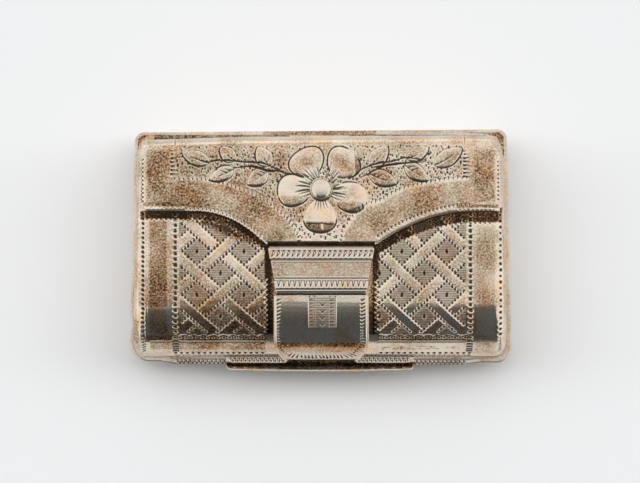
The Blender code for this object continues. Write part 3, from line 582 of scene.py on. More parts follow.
def tarnished_silver(name, bright, brown, share, roughness, borders=()):
    """Worn sterling silver: pale and warm where it is rubbed, brown where handling doesn't reach.

    The tarnish sits in specks a sixth of a millimetre wide inside larger clouds, with olive, pink and
    golden stains among them. Oxide fills the cuts; the dark end of the scale also serves dirt with painted
    shade in corners, gaps and hollows, and its pale end painted highlights. Borders are wriggled lines
    round the walls, as (height, reach, pitch).
    """
    made, tree, shader = new_material(name)
    place = add_node(tree, "TexCoord").outputs["Object"]
    marks = add_node(tree, "Attribute", attribute_name="chasing_and_painted_light")
    split = add_node(tree, "SeparateColor", {"Color": marks.outputs["Color"]})
    deep, tarnish, hatch = split.outputs
    if borders:
        spot = add_node(tree, "SeparateXYZ", {0: place})
        facing = add_node(tree, "SeparateXYZ", {0: add_node(tree, "NewGeometry").outputs["Normal"]})
        level = add_node(tree, "Math", {0: facing.outputs[2]}, operation="ABSOLUTE")
        wall = add_node(tree, "MapRange", {0: level, 1: 0.25, 2: 0.4, 3: 1.0, 4: 0.0})
        along = add_node(tree, "Math", {0: spot, 1: spot.outputs[1]}, operation="ADD")
        for height, reach, pitch in borders:
            swing = add_node(tree, "Math", {0: along, 1: pitch * MM}, operation="PINGPONG")
            swing = add_node(tree, "MapRange", {0: swing, 1: 0.0, 2: pitch * MM,
                                                3: (height - reach / 2) * MM, 4: (height + reach / 2) * MM})
            off = add_node(tree, "Math", {0: spot.outputs[2], 1: swing}, operation="SUBTRACT")
            off = add_node(tree, "Math", {0: off}, operation="ABSOLUTE")
            off = add_node(tree, "MapRange", {0: off, 1: 0.03 * MM, 2: 0.09 * MM, 3: 1.0, 4: 0.0})
            off = add_node(tree, "Math", {0: off, 1: wall}, operation="MULTIPLY")
            deep = add_node(tree, "Math", {0: off, 1: deep}, operation="MAXIMUM").outputs[0]
    speck, cloud, stain, scratch = (
        add_node(tree, "TexNoise", {"Vector": place, "Scale": 1 / (wide * MM), "Detail": detail,
                                    "Roughness": rough})
        for wide, detail, rough in ((SPECKLE, 3.0, 0.65), (CLOUD, 3.0, 0.5), (STAIN, 2.5, 0.5),
                                    (SCRATCH, 2.0, 0.5)))
    wide = add_node(tree, "MapRange", {0: cloud, 1: 0.35, 2: 0.65, 3: share - 0.2, 4: share + 0.2})
    total = add_node(tree, "Math", {0: wide, 1: tarnish}, operation="ADD")
    fine = add_node(tree, "MapRange", {0: speck, 1: 0.32, 2: 0.68, 3: -1.0, 4: 1.0})
    patchy = add_node(tree, "MapRange", {0: total, 1: 0.0, 2: 0.8, 3: 0.08, 4: 0.58})
    fine = add_node(tree, "Math", {0: fine, 1: patchy}, operation="MULTIPLY")
    total = add_node(tree, "Math", {0: total, 1: fine}, operation="ADD")
    total = add_node(tree, "Math", {0: total, 1: MOST_TARNISH_AND_SHADE}, operation="DIVIDE", use_clamp=True)
    # The darkest stops serve heavy tarnish and also dirt with painted shade
    tint = add_node(tree, "ValToRGB", {"Fac": total}, ((0.04, bright), (0.9, "2B231D"), (0.32, "BCA890"),
                                                       (0.56, brown), (0.72, "5E4632")))
    hue = add_node(tree, "ValToRGB", {"Fac": stain}, ((0.36, "F8FAF2"), (0.68, "FFF0DA"),
                                                      (0.48, "FFFCFA"), (0.58, "FFF2EE")))
    tint = add_node(tree, "Mix", {0: 1.0, 6: tint, 7: hue}, data_type="RGBA",
                    blend_type="MULTIPLY")
    rock = add_node(tree, "Math", {0: marks.outputs["Alpha"], 1: math.tau / HATCH_PITCH},
                    operation="MULTIPLY")
    rock = add_node(tree, "Math", {0: rock}, operation="SINE")
    rock = add_node(tree, "MapRange", {0: rock, 1: -0.3, 2: 0.8, 3: 0.2, 4: 0.85})
    lines = add_node(tree, "Math", {0: rock, 1: hatch}, operation="MULTIPLY")
    shade = add_node(tree, "Mix", {0: lines, 6: tint.outputs[2], 7: linear("5A4B3E")},
                     data_type="RGBA")
    oxide = add_node(tree, "MapRange", {0: deep, 1: 0.25, 2: 0.85, 3: 0.0, 4: 0.92})
    shade = add_node(tree, "Mix", {0: oxide, 6: shade.outputs[2], 7: linear("1F1712")},
                     data_type="RGBA")
    gloss = add_node(tree, "MapRange", {0: total, 1: 0.0, 2: 1.0, 3: roughness, 4: roughness + 0.2})
    dull = add_node(tree, "Math", {0: oxide, 1: 0.6}, operation="MULTIPLY")
    gloss = add_node(tree, "Math", {0: gloss, 1: dull}, operation="MAXIMUM")
    brushed = add_node(tree, "Math", {0: hatch, 1: 0.42}, operation="MULTIPLY")
    gloss = add_node(tree, "Math", {0: gloss, 1: brushed}, operation="MAXIMUM")
    relief = add_node(tree, "Math", {0: speck, 1: scratch}, operation="ADD")
    relief = add_node(tree, "Math", {0: relief, 1: lines}, operation="SUBTRACT")
    if borders:
        relief = add_node(tree, "Math", {0: relief, 1: deep}, operation="SUBTRACT")
    bump = add_node(tree, "Bump", {"Strength": 0.3, "Distance": 0.01 * MM, "Height": relief})
    feed(tree, shader, {"Base Color": shade.outputs[2], "Metallic": 1.0, "Roughness": gloss,
                        "Normal": bump})
    return made


def fire_gilt(name):
    """Mercury gilding: a thin soft yellow coat with a slight burnish, a little uneven in depth."""
    made, tree, shader = new_material(name)
    place = add_node(tree, "TexCoord").outputs["Object"]
    cloud = add_node(tree, "TexNoise", {"Vector": place, "Scale": 1 / (1.2 * MM), "Detail": 4.0})
    tint = add_node(tree, "ValToRGB", {"Fac": cloud}, ((0.35, "E2BE7A"), (0.7, "C4934A")))
    gloss = add_node(tree, "MapRange", {0: cloud, 1: 0.3, 2: 0.7, 3: 0.18, 4: 0.34})
    bump = add_node(tree, "Bump", {"Strength": 0.2, "Distance": 0.01 * MM, "Height": cloud})
    feed(tree, shader, {"Base Color": tint, "Metallic": 1.0, "Roughness": gloss, "Normal": bump})
    return made


# Wriggled borders and plain lines round the lid's walls, as (height, reach, pitch)
LID_BORDERS = ((4.05, 0.3, 0.24), (4.5, 0.0, 1.0), (6.9, 0.0, 1.0), (7.3, 0.34, 0.26))
# Chased silver: worn bright on the raised work, brown in the grounds, with nearly black cuts
chased_silver = tarnished_silver("chased_silver", "E6DACA", "93704F", 0.0, 0.14, LID_BORDERS)
# Fire gilding: a soft yellow gleam on all that faces the vinegar
gilding = fire_gilt("fire_gilding")

lid_flat = np.concatenate([np.linspace(LID["back"] - LID["edge_roll"], 3.4, 13)[:-1],
                           np.linspace(3.4, LID["front"] + LID["front_roll"], 165)])
lid_runs = section_runs(LID, 0, lid_flat, 8, 140, WALL_STEPS)
lid_spreads = np.concatenate([np.linspace(-1, -0.29, 209)[:-1], np.linspace(-0.29, 0.3, 17)[:-1],
                              np.linspace(0.3, 1, 205)])
lid_outer = soft_start(raised_skin(LID, lid_runs, lid_spreads, ROLL_STEPS, WALL_STEPS, 0))
lid_outer, lid_marks = marked(lid_board, lid_outer, lid_runs[:, None])
lid_inner = raised_skin(LID, lid_runs[::INNER_STEP], lid_spreads[::INNER_STEP],
                        ROLL_STEPS // INNER_STEP, WALL_STEPS // INNER_STEP, 0, LID_SHEET)
lid = closed_sheet("lid_dressed", lid_outer, lid_inner, INNER_STEP, lid_marks, [chased_silver, gilding])
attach(lid, "lid")
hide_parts("lid_shell")

# The flap. A second sheet over the back half of the lid, soldered down, with a hand-cut edge that
# curves to the strap. Two borders of cuts follow the edge, and between them and the back lie leaf
# sprays and a flower on a ground stippled with a round punch.

FLAP_SHEET = 0.33
FLAP_SIDE_MARGIN = 0.35
FLAP_FOOT_Z = 3.98
FLAP_SWELL_FROM, FLAP_SWELL, SWELL_LOW, FOOT_SWELL = 7.7, 0.3, 4.4, 0.12
CORNER_SET, BACK_SKEW = 0.12, 0.0085
FLOWER = (0.12, 4.77)
flap_board = new_board()
flap_board["tarnish"][:] = 0.36
tinted(flap_board, -13, 13, 9.7, 0, lambda x, y, _: np.where(x < -3, 0.63, 0.48))
tinted(flap_board, -15.2, 15.2, 9.7, 8.1,
       lambda x, y, there: np.where(y > 8.42 + 0.012 * (x + 15), 0.26, there))
tinted(flap_board, -3.2, 3.2, 2.0, 0.4,
       lambda x, y, there: np.where(np.abs(x - 0.1) < 1.8 + 0.7 * (y - 0.4), 0.16, there))
# Ticks along the flap's edge, with painted glints between
for path in (along_edge(-11.3, -4.75, 22, 0.3), along_edge(12.6, 4.75, 26, 0.45)):
    ticks(flap_board, path, 0.335, 0.31, 0.16, 0.1, 0.5, 0.35)
# Towards the sides the cuts run close together in a band of painted shade, with a shallow wriggle below it
# painted lighter as a highlight
for left, right, middle, high in ((-14.6, -11.2, 3.5, 0.3), (11.3, 14.7, 3.34, 0.22)):
    tinted(flap_board, left, right, middle + high / 2, middle - high / 2, 0.95)
    ticks(flap_board, [(left, middle), (right, middle)], 0.17, high + 0.05, 0.1, 0.06)
    wriggle(flap_board, [(left, middle - 0.28), (right, middle - 0.28)], 0.36, 0.1, 0.08, 0.8, "bright")
# A line just inside the flap's edge, painted lighter as a highlight on its arris
for ends in ((-14.9, -4.4), (4.6, 15.1)):
    line(flap_board, along_edge(*ends, 70, 0.07), [0.2], 0.45, "bright")
for x in (-14.76, 14.84):
    wriggle(flap_board, [(x, 7.3), (x, 3.5)], 0.34, 0.26, 0.16, 0.1)
inner_left = smooth([(-12.24, 5.72), (-9.79, 5.70), (-7.88, 5.31), (-6.41, 4.83), (-4.72, 4.09),
                     (-3.46, 3.11), (-2.82, 2.56), (-2.18, 1.70), (-1.75, 1.0), (-1.68, 0.25)])
inner_right = smooth([(12.3, 5.57), (11.19, 5.57), (9.52, 5.31), (7.41, 4.88), (6.04, 4.35),
                      (4.98, 3.72), (3.83, 3.40), (2.97, 2.66), (2.4, 1.9), (1.95, 1.2), (1.85, 0.25)])
# Ticks along the inner borders, with painted glints between
for path, lean in ((inner_left, 0.35), (inner_right, -0.35)):
    ticks(flap_board, path, 0.37, 0.36, 0.17, 0.09, lean, 0.4)
# Ticks down the columns, with painted glints between
for x, back, front in ((-12.08, 8.1, 5.8), (12.15, 8.1, 5.6)):
    ticks(flap_board, [(x, back), (x, front)], 0.32, 0.5, 0.17, 0.09, 0.0, 0.4)
    for side in (-0.35, 0.35):
        cut(flap_board, (x + side, 8.2), (x + side, 5.5), 0.06, 0.025)
drops(flap_board, [(-11.6, 8.29), (11.6, 8.29)], 0.63, 0.11, 0.08)
for x in (-12.0, 12.0):
    cut(flap_board, (x, 8.4), (x, 9.6), 0.14, 0.06)
# Painted shade on the flap under the strap's back edge: the darkest tone, sunk a little and blackened as a
# cut
window, x, y = cells_round([(-4.35, 0.34), (4.55, -0.2)], 0)
flap_board["tarnish"][window] = DIRT_AND_PAINTED_SHADE
flap_board["cut"][window] = 0.1

left_limit, right_limit = np.array(inner_left), np.array(inner_right)[::-1]


def inner_border(x):
    """Where the inner border comes."""
    return np.where(x < 0, np.interp(x, *left_limit.T), np.interp(x, *right_limit.T))


# Browner between the two borders and in the bands at the sides
tinted(flap_board, -15, 15, 8.6, -0.2, lambda x, y, there: np.where(
    (y < inner_border(x) - 0.25) & (y > flap_edge(x) + 0.62) & (np.abs(x) < 12.4),
    np.where(x < 0, 0.68, 0.56), there))
tinted(flap_board, -14.3, -12.75, 8.0, 3.75, 0.68)
tinted(flap_board, 12.75, 14.4, 8.0, 3.75, 0.62)

# The flower: five broad petals, each pressed up from behind and outlined with a heavy cut; the tips of
# some are drawn folded over, with painted shade on the turned-down part
PETALS = (
    # direction and distance of its middle, half length, half width, heavy outline from and to, and the
    # fold's direction and how far out its painted shade starts
    (118.5, 2.47, 1.22, 1.5, -35, 250, 121, 0.84),
    (50, 2.74, 1.26, 1.45, 70, 215, 2, 0.72),
    (183, 2.24, 1.42, 1.32, 75, 190, 300, 0.9),
    (-16, 2.39, 1.5, 1.22, 215, 320, 295, 0.8),
    (267.4, 2.23, 1.42, 1.34, 195, 345, 268, 0.46),
)
MORE_HEAVY = {50: (-75, 15), 183: (205, 325)}
PETAL_SPREAD = 0.2
flower_clear = np.zeros_like(flap_board["lift"])


def petal_outline(direction, distance, half_long, half_wide):
    """A petal's outline from one side of the boss to the other, broad at its end."""
    lean, turn = math.radians(direction), np.radians(np.linspace(-158, 158, 61))
    along = distance + np.cos(turn) * half_long
    aside = np.sin(turn) * half_wide * (1 + PETAL_SPREAD * np.cos(turn))
    return list(zip(FLOWER[0] + along * math.cos(lean) - aside * math.sin(lean),
                    FLOWER[1] + along * math.sin(lean) + aside * math.cos(lean)))


for direction, distance, half_long, half_wide, heavy_from, heavy_to, fold, fold_from in PETALS:
    lean = math.radians(direction)
    middle = (FLOWER[0] + distance * math.cos(lean), FLOWER[1] + distance * math.sin(lean))
    window, x, y = cells_round([FLOWER], 4.4)
    along = (x - middle[0]) * math.cos(lean) + (y - middle[1]) * math.sin(lean)
    aside = (y - middle[1]) * math.cos(lean) - (x - middle[0]) * math.sin(lean)
    away = np.hypot(along / half_long, aside / (half_wide * (1 + PETAL_SPREAD * along / half_long)))
    pillow = np.clip(1 - away ** 6, 0, 1)
    hollow = 0.012 * np.exp(-((along + 0.2) ** 2 + aside ** 2) / 0.7)
    at_least(flap_board["lift"], window, (pillow * 0.028 - hollow) * (away < 1))
    at_least(flower_clear, window, away < 1.1)
    turn = math.radians(fold)
    toward = (x - middle[0]) * math.cos(turn) + (y - middle[1]) * math.sin(turn)
    folded_shade = (toward > fold_from * (half_long + half_wide) / 2) & (away < 0.97)
    # Lower halves painted darker as shade; the two upper petals carry a pool of brown tarnish instead
    petal_shade_and_tarnish = np.where(y < middle[1] - 0.45, 0.42, 0.08)
    if direction in (118.5, 50):
        petal_shade_and_tarnish = 0.25 + 0.5 * np.exp(-(along / 0.55) ** 2 - (aside / 0.8) ** 2)
    petal_tarnish = np.where(folded_shade, np.where((direction > 260) & (x > 0.3), 0.75, 0.95), petal_shade_and_tarnish)
    flap_board["tarnish"][window] = np.where(away < 0.97, petal_tarnish, flap_board["tarnish"][window])
    at_least(flap_board["cut"], window, folded_shade * 0.03)
    outline = petal_outline(direction, distance, half_long, half_wide)
    for start, end in zip(outline, outline[1:]):
        seen = math.degrees(math.atan2(start[1] - middle[1], start[0] - middle[0]))
        heavy = any((seen - first) % 360 < last - first
                    for first, last in ((heavy_from, heavy_to), MORE_HEAVY.get(direction, (0, 0))))
        cut(flap_board, start, end, 0.18 if heavy else 0.09, 0.09 if heavy else 0.045)
    for k in range(5):
        fan = math.radians(direction + (k - 2) * 10 + hand.normal(0, 2))
        reach = 2.3 - 0.2 * abs(k - 2) + hand.normal(0, 0.12)
        radii = np.linspace(0.98, reach, 7)
        turns = fan + 0.06 * (radii - 1)
        path = list(zip(FLOWER[0] + radii * np.cos(turns), FLOWER[1] + radii * np.sin(turns)))
        line(flap_board, path, [0.13, 0.13, 0.1, 0.03], 0.075)
# A short line on the lower petal, painted lighter as a highlight
line(flap_board, [(0.22, 1.45), (0.16, 1.9)], [0.12, 0.2], 1.0, "bright")
line(flap_board, [(FLOWER[0] - 0.02 + 0.95 * math.cos(turn), FLOWER[1] + 0.95 * math.sin(turn))
                  for turn in np.linspace(math.pi / 2, 2.5 * math.pi, 40)],
     [0.1, 0.12, 0.2, 0.12, 0.1], 0.08)

# The leaf sprays: a stem drawn with two cuts, and leaves outlined heavier on one side
SPRAYS = (
    # stem's upper line, stem's lower line, leaves as (base, tip, width, heavy side)
    ([(-2.75, 6.0), (-4.1, 6.66), (-5.0, 6.93), (-6.15, 6.98), (-8.15, 7.14), (-9.37, 6.93),
      (-9.95, 7.1)],
     [(-2.75, 5.9), (-3.4, 6.25), (-4.3, 6.25), (-5.72, 6.63), (-7.1, 6.47)],
     (((-4.15, 6.65), (-5.2, 8.25), 1.45, 1), ((-7.0, 7.1), (-8.3, 8.2), 1.25, 1),
      ((-9.1, 6.95), (-11.45, 7.75), 1.3, 1), ((-7.1, 6.45), (-9.2, 5.5), 1.2, 1),
      ((-4.3, 6.3), (-6.0, 5.1), 1.45, 1))),
    ([(2.4, 5.55), (3.26, 6.25), (4.1, 6.67), (5.1, 6.93), (6.05, 7.05), (7.1, 7.35), (8.1, 7.2),
      (9.0, 6.9)],
     [(3.05, 5.5), (4.06, 6.05), (5.1, 6.6), (6.16, 6.8), (7.05, 6.9), (8.6, 6.98)],
     (((4.1, 6.67), (5.65, 8.25), 1.45, -1), ((7.15, 7.25), (9.05, 8.2), 1.2, -1),
      ((9.45, 6.7), (11.8, 8.1), 1.45, -1), ((7.0, 6.8), (8.95, 5.45), 1.35, -1),
      ((4.05, 6.05), (6.4, 5.2), 1.35, -1))),
)


def leaf(board, base, tip, width, heavy):
    """A leaf: two bowed sides, a vein from its base, and a pillow of relief between them."""
    base, tip = np.array(base), np.array(tip)
    axis = tip - base
    long = np.hypot(*axis)
    axis = axis / long
    aside = np.array([-axis[1], axis[0]])
    shares = np.linspace(0, 1, 15)
    bow = np.sin(math.pi * shares ** 0.85) ** 0.7 * width / 2
    for side in (1, -1):
        points = [base + axis * long * s + aside * side * b for s, b in zip(shares, bow)]
        widths = [0.11, 0.16, 0.2, 0.16] if side == heavy else [0.09, 0.11, 0.11, 0.09]
        line(board, points, widths, 0.1 if side == heavy else 0.075)
    vein = [base + axis * long * s + aside * 0.1 * heavy * math.sin(math.pi * s) for s in
            np.linspace(0.04, 0.66, 7)]
    line(board, vein, [0.13, 0.12, 0.05], 0.075)
    for s in (0.2, 0.36):
        foot = base + axis * long * s
        end = foot + axis * 0.3 - aside * heavy * width * 0.28
        cut(board, foot, end, 0.11, 0.06, 0.04)
    window, x, y = cells_round([base, tip], width)
    along = ((x - base[0]) * axis[0] + (y - base[1]) * axis[1]) / long
    off = (x - base[0]) * aside[0] + (y - base[1]) * aside[1]
    room = np.sin(math.pi * np.clip(along, 0, 1) ** 0.85) ** 0.7 * width / 2 + 1e-6
    share = np.clip(1 - (off / room) ** 2, 0, 1) * (np.abs(along - 0.5) < 0.5)
    at_least(board["lift"], window, 0.012 * share)
    board["tarnish"][window] = np.where(share > 0.05, 0.3 + 0.25 * share, board["tarnish"][window])
    at_least(flower_clear, window, share > 0)


for upper, lower, leaves in SPRAYS:
    line(flap_board, smooth(upper), [0.12, 0.16, 0.14, 0.1], 0.09)
    line(flap_board, smooth(lower), [0.11, 0.19, 0.21, 0.12], 0.1)
    for base, tip, width, heavy in leaves:
        leaf(flap_board, base, tip, width, heavy)

# The stippled ground between the borders
STIPPLE_PITCH = 0.36
for row in range(27):
    for column in range(70):
        x = -12.6 + STIPPLE_PITCH * (column + 0.5 * (row % 2)) + hand.normal(0, 0.08)
        y = 8.2 - STIPPLE_PITCH * 0.8 * row + hand.normal(0, 0.07)
        cell = (int((BOARD_BACK - y) / BOARD_PITCH), int((x - BOARD_LEFT) / BOARD_PITCH))
        ground = -11.9 < x < 11.8 and y > inner_border(x) + 0.28 and not flower_clear[cell]
        if ground and hand.random() < 0.85:
            punch(flap_board, (x, y), 0.105 * (1 + hand.normal(0, 0.22)), 0.08)

FLAP_TURN = math.asin((LID["edge_roll"] - FLAP_SIDE_MARGIN) / (LID["edge_roll"] + FLAP_RISE))
FLAP_COLUMNS = 568
flap_spread = np.concatenate([-np.ones(8), np.linspace(-1, 1, FLAP_COLUMNS + 1), np.ones(8)])
flap_turn = np.concatenate([np.linspace(-FLAP_TURN, 0, 9)[:-1], np.zeros(FLAP_COLUMNS + 1),
                            np.linspace(0, FLAP_TURN, 9)[1:]])
flap_flat_back = LID["back"] - LID["edge_roll"]
flap_arc = (LID["edge_roll"] + FLAP_RISE) * math.pi / 2
flap_wall = LID["high"] - LID["edge_roll"] - FLAP_FOOT_Z
flap_x = flap_spread * (half_at(LID, 3.0) - LID["edge_roll"])
flap_front = flap_edge(flap_x)
behind = flap_flat_back + np.concatenate([flap_arc + np.linspace(flap_wall, 0, 13)[:-1],
                                          np.linspace(flap_arc, 0, 25)])
FLAP_ROWS = 148
share = np.concatenate([0 * behind, np.linspace(0, 1, FLAP_ROWS + 1)[1:]])
behind = np.concatenate([behind, np.full(FLAP_ROWS, flap_flat_back)])
flap_run = behind[:, None] + share[:, None] * (flap_front - flap_flat_back)[None, :]


def flap_skin(rise, offset, step):
    """The flap's skin at an offset below its outside; its back stands out a little over the barrel."""
    skin = placed(LID, flap_run[::step, ::step], flap_spread[None, ::step], flap_turn[None, ::step], rise,
                  offset)
    x, y, z = np.moveaxis(skin, -1, 0)
    rolled = np.clip((y - FLAP_SWELL_FROM) / (LID["back"] + FLAP_RISE - FLAP_SWELL_FROM), 0, 1)
    # Less of it near the foot, so that the open lid clears the rim, and at the corners
    upper = FOOT_SWELL + (1 - FOOT_SWELL) * np.clip(z - SWELL_LOW, 0, 1)
    corner = np.clip((-7.0 - x) / 5.0, 0, 1.6) + 0.5 * np.clip((x - 12.5) / 2.0, 0, 1)
    skin[..., 1] += (FLAP_SWELL + BACK_SKEW * x - CORNER_SET * corner) * upper * rolled ** 2
    return skin


def edge_eased(points, reach, drop, sides):
    """How far a skin comes down at its open edges, where the sheet's arris is rubbed round."""
    fall = np.zeros(points.shape[:2])
    for axis, end in sides:
        flat = np.moveaxis(points, axis, 0)[::end]
        away = np.linalg.norm(flat - flat[:1], axis=-1)
        near = drop * np.clip(1 - away / reach, 0, 1) ** 2
        fall = np.maximum(fall, np.moveaxis(near[::end], 0, axis))
    return fall


flap_outer = flap_skin(FLAP_RISE, 0, 1)
flap_marked, flap_marks = marked(flap_board, flap_outer, flap_run)
flap_outer = lifted(flap_marked, -edge_eased(flap_outer, 0.07, 0.07, ((0, -1), (1, 1), (1, -1))))
flap = closed_sheet("flap_dressed", flap_outer, flap_skin(FLAP_RISE, FLAP_SHEET, INNER_STEP), INNER_STEP,
                    flap_marks, [chased_silver, chased_silver])
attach(flap, "lid")
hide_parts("flap")

# The flower's boss. A small dome of silver soldered on the middle of the petals and burnished, with a
# groove round its foot.

# Burnished silver: rubbed all over, so pale, smooth and hardly brown
burnished_silver = tarnished_silver("burnished_silver", "DCD3C6", "A98A6C", -0.1, 0.14)
BOSS_RADIUS, BOSS_HEIGHT, BOSS_SIDES, BOSS_RINGS, BOSS_SQUARENESS = 0.87, 0.5, 48, 16, 0.2
boss_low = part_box("flower_boss")[0].z / MM


def ringed(name, rings, marks, capped, material):
    """A piece with a skin over rings of points: capped on the first ring, or closed round on itself."""
    bm = bmesh.new()
    chasing_and_painted_light = bm.verts.layers.float_color.new("chasing_and_painted_light")
    made = []
    for points, colours in zip(rings, marks):
        made.append([bm.verts.new((point * MM).tolist()) for point in points])
        for vertex, colour in zip(made[-1], colours):
            vertex[chasing_and_painted_light] = colour.tolist()
    for low_ring, high_ring in zip(made, made[1:] + ([] if capped else made[:1])):
        for k in range(len(low_ring)):
            n = (k + 1) % len(low_ring)
            bm.faces.new((low_ring[k], low_ring[n], high_ring[n], high_ring[k]))
    if capped:
        bm.faces.new(made[0][::-1])
    bmesh.ops.remove_doubles(bm, verts=bm.verts, dist=0.001 * MM)
    bmesh.ops.recalc_face_normals(bm, faces=bm.faces)
    mesh = bpy.data.meshes.new(name)
    bm.to_mesh(mesh)
    bm.free()
    mesh.materials.append(material)
    mesh.shade_smooth()
    mesh.set_sharp_from_angle(angle=math.radians(60))
    return in_scene(name, mesh)


lean = np.linspace(0, math.pi / 2, BOSS_RINGS + 1)[:, None]
turn = np.arange(BOSS_SIDES)[None, :] * math.tau / BOSS_SIDES
radius = BOSS_RADIUS * np.clip(np.cos(lean), 1e-16, 1) ** BOSS_SQUARENESS
boss_rings = grid(FLOWER[0] - 0.02 + radius * np.cos(turn), FLOWER[1] + radius * np.sin(turn),
                  boss_low + BOSS_HEIGHT * np.sin(lean))
boss = ringed("boss_dressed", boss_rings, np.zeros(boss_rings.shape[:2] + (4,)), True, burnished_silver)
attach(boss, "lid")
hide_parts("flower_boss")

# The keeper strap. A moulded band cast and filed up, as if the tongue passed through it: a bead, a
# notched fillet, a plain field, a second notched fillet and a bevel. Soldered across the lid.

STRAP = {"half_back": 4.45, "half_front": 3.75, "back": 0.08, "front": -4.02, "low": 8.83, "high": 9.45,
         "front_roll": 0.3, "edge_roll": 0.14}
STRAP_X, STRAP_SHEET = 0.1, 0.1
strap_board = new_board()
strap_board["tarnish"][:] = 0.2
window, x, y = cells_round([(-4.6, 0.2), (4.6, -4.4)], 0)
across = STRAP["back"] - y
field = (across > 1.29) & (across < 2.66)
# Painted shade in the groove behind the strap; the field browner with tarnish
strap_board["tarnish"][window] = np.where(across < 0.2, DIRT_AND_PAINTED_SHADE, np.where(field, 0.45 + 0.03 * x, 0.14))
# Grooves as (middle, width, depth), and rows of notches as (y, half length, pitch, reach, slant)
GROOVES = ((0.05, 0.34, 0.16), (1.2, 0.17, 0.13), (2.8, 0.28, 0.15), (3.62, 0.12, 0.08))
TEETH = ((-0.68, 4.25, 0.43, 0.2, 0.1), (-3.14, 3.75, 0.43, 0.22, 0.02))
for middle, width, depth in GROOVES:
    at_least(strap_board["cut"], window,
             depth * np.clip(1 - (np.abs(across - middle) / width * 2) ** 2, 0, 1))
strap_board["lift"][window] -= 0.05 * field + 0.1 * np.clip((across - 3.7) / 0.4, 0, 1)
for row, half, pitch, reach, slant in TEETH:
    for x, y, _, _ in spaced([(-half, row), (half, row)], pitch):
        cut(strap_board, (x + slant, y + reach), (x - slant, y - reach), 0.26, 0.16, 0.1)
strap_flat = np.linspace(STRAP["back"] - STRAP["edge_roll"], STRAP["front"] + STRAP["front_roll"], 81)
strap_runs = section_runs(STRAP, 0, strap_flat, 4, 8, 4)
strap_spreads = np.linspace(-1, 1, 145)
strap_outer = raised_skin(STRAP, strap_runs, strap_spreads, 4, 4, 0)
strap_outer, strap_marks = marked(strap_board, strap_outer, strap_runs[:, None])
strap_inner = raised_skin(STRAP, strap_runs[::INNER_STEP], strap_spreads[::INNER_STEP], 1, 1, 0,
                          STRAP_SHEET)
for skin in (strap_outer, strap_inner):
    skin[..., 0] += STRAP_X
# Filed silver: pale edges that the thumb keeps rubbed, and a sharper gloss than on the chased sheets
filed_silver = tarnished_silver("filed_silver", "D9D0C3", "93705A", -0.05, 0.16)
strap = closed_sheet("strap_dressed", strap_outer, strap_inner, INNER_STEP, strap_marks,
                     [filed_silver, filed_silver])
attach(strap, "lid")
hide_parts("strap")

# The tongue. The end of the flap below the strap: a thin sheet bent down over the lid's rolled front
# and soldered, with a rubbed rim painted lighter still as a highlight, a column of ticks at each side and a
# hatched panel at its top.

TONGUE_SHEET = 0.33
TONGUE_HALF, TONGUE_TIP_HALF, TONGUE_TURN_Y = 3.97, 2.7, -7.56
TONGUE_BACK_Y, TONGUE_FOOT_Z = -4.06, 4.22
tongue_board = new_board()
tongue_board["tarnish"][:] = 0.2
for side, x in ((-1, -3.5), (1, 3.5)):
    path = [(x, -4.3), (x, -8.4)] + [(x - side * k * 0.22, -8.4 - k * 0.4) for k in range(1, 5)]
    ticks(tongue_board, path, 0.31, 0.36, 0.17, 0.08, 0.3)
PANEL_LEFT, PANEL_RIGHT, PANEL_FOOT = -0.98, 1.18, -6.75
window, x, y = cells_round([(PANEL_LEFT, -4.2), (PANEL_RIGHT, PANEL_FOOT)], 0)
tongue_board["hatch"][window] = 1.0
for x in (PANEL_LEFT, PANEL_LEFT + 0.45, PANEL_RIGHT - 0.45, PANEL_RIGHT):
    cut(tongue_board, (x, -4.2), (x, PANEL_FOOT), 0.1, 0.05)
for x in (PANEL_LEFT + 0.22, PANEL_RIGHT - 0.22):
    ticks(tongue_board, [(x, -4.3), (x, PANEL_FOOT)], 0.3, 0.3, 0.13, 0.08)
for x, y, _, _ in spaced([(0.1, -4.5), (0.1, PANEL_FOOT)], 0.5):
    for side in (-1, 1):
        cut(tongue_board, (x, y - 0.12), (x + side * 0.28, y + 0.12), 0.14, 0.08, 0.05)
tinted(tongue_board, -3.9, 3.9, -8.25, -11.2,
       lambda x, y, _: np.where(y > -8.83, 0.95, np.where(y > -9.5, 0.54, 0.42)))
arc = [(x, -10.22 + 0.9 * (x / 3.0) ** 4) for x in np.linspace(-2.6, 2.6, 24)]
ticks(tongue_board, arc, 0.3, 1.1, 0.18, 0.15, 0.15)

tongue_radius = LID["front_roll"] + TONGUE_RISE
tongue_front_y = LID["front"] + LID["front_roll"]
tongue_end = (tongue_front_y - tongue_radius * math.pi / 2
              - (LID["high"] - LID["front_roll"] - TONGUE_FOOT_Z))
tongue_run = np.linspace(TONGUE_BACK_Y, tongue_end, 165)
tongue_y, _, _, _ = section(LID, tongue_run, TONGUE_RISE, 0)
ahead = np.clip((TONGUE_TURN_Y - tongue_y) / (TONGUE_TURN_Y - LID["front"] + TONGUE_RISE), 0, 1)
tongue_half = TONGUE_TIP_HALF + (TONGUE_HALF - TONGUE_TIP_HALF) * np.sqrt(np.clip(1 - ahead ** 2, 0, 1))
tongue_share = np.linspace(-1, 1, 161)


def tongue_skin(offset, step):
    """The tongue's skin at an offset below its outside."""
    y, z, _, _ = section(LID, tongue_run[::step], TONGUE_RISE, offset)
    x = STRAP_X + tongue_half[::step, None] * tongue_share[None, ::step]
    return soft_start(grid(x, y[:, None], z[:, None]))


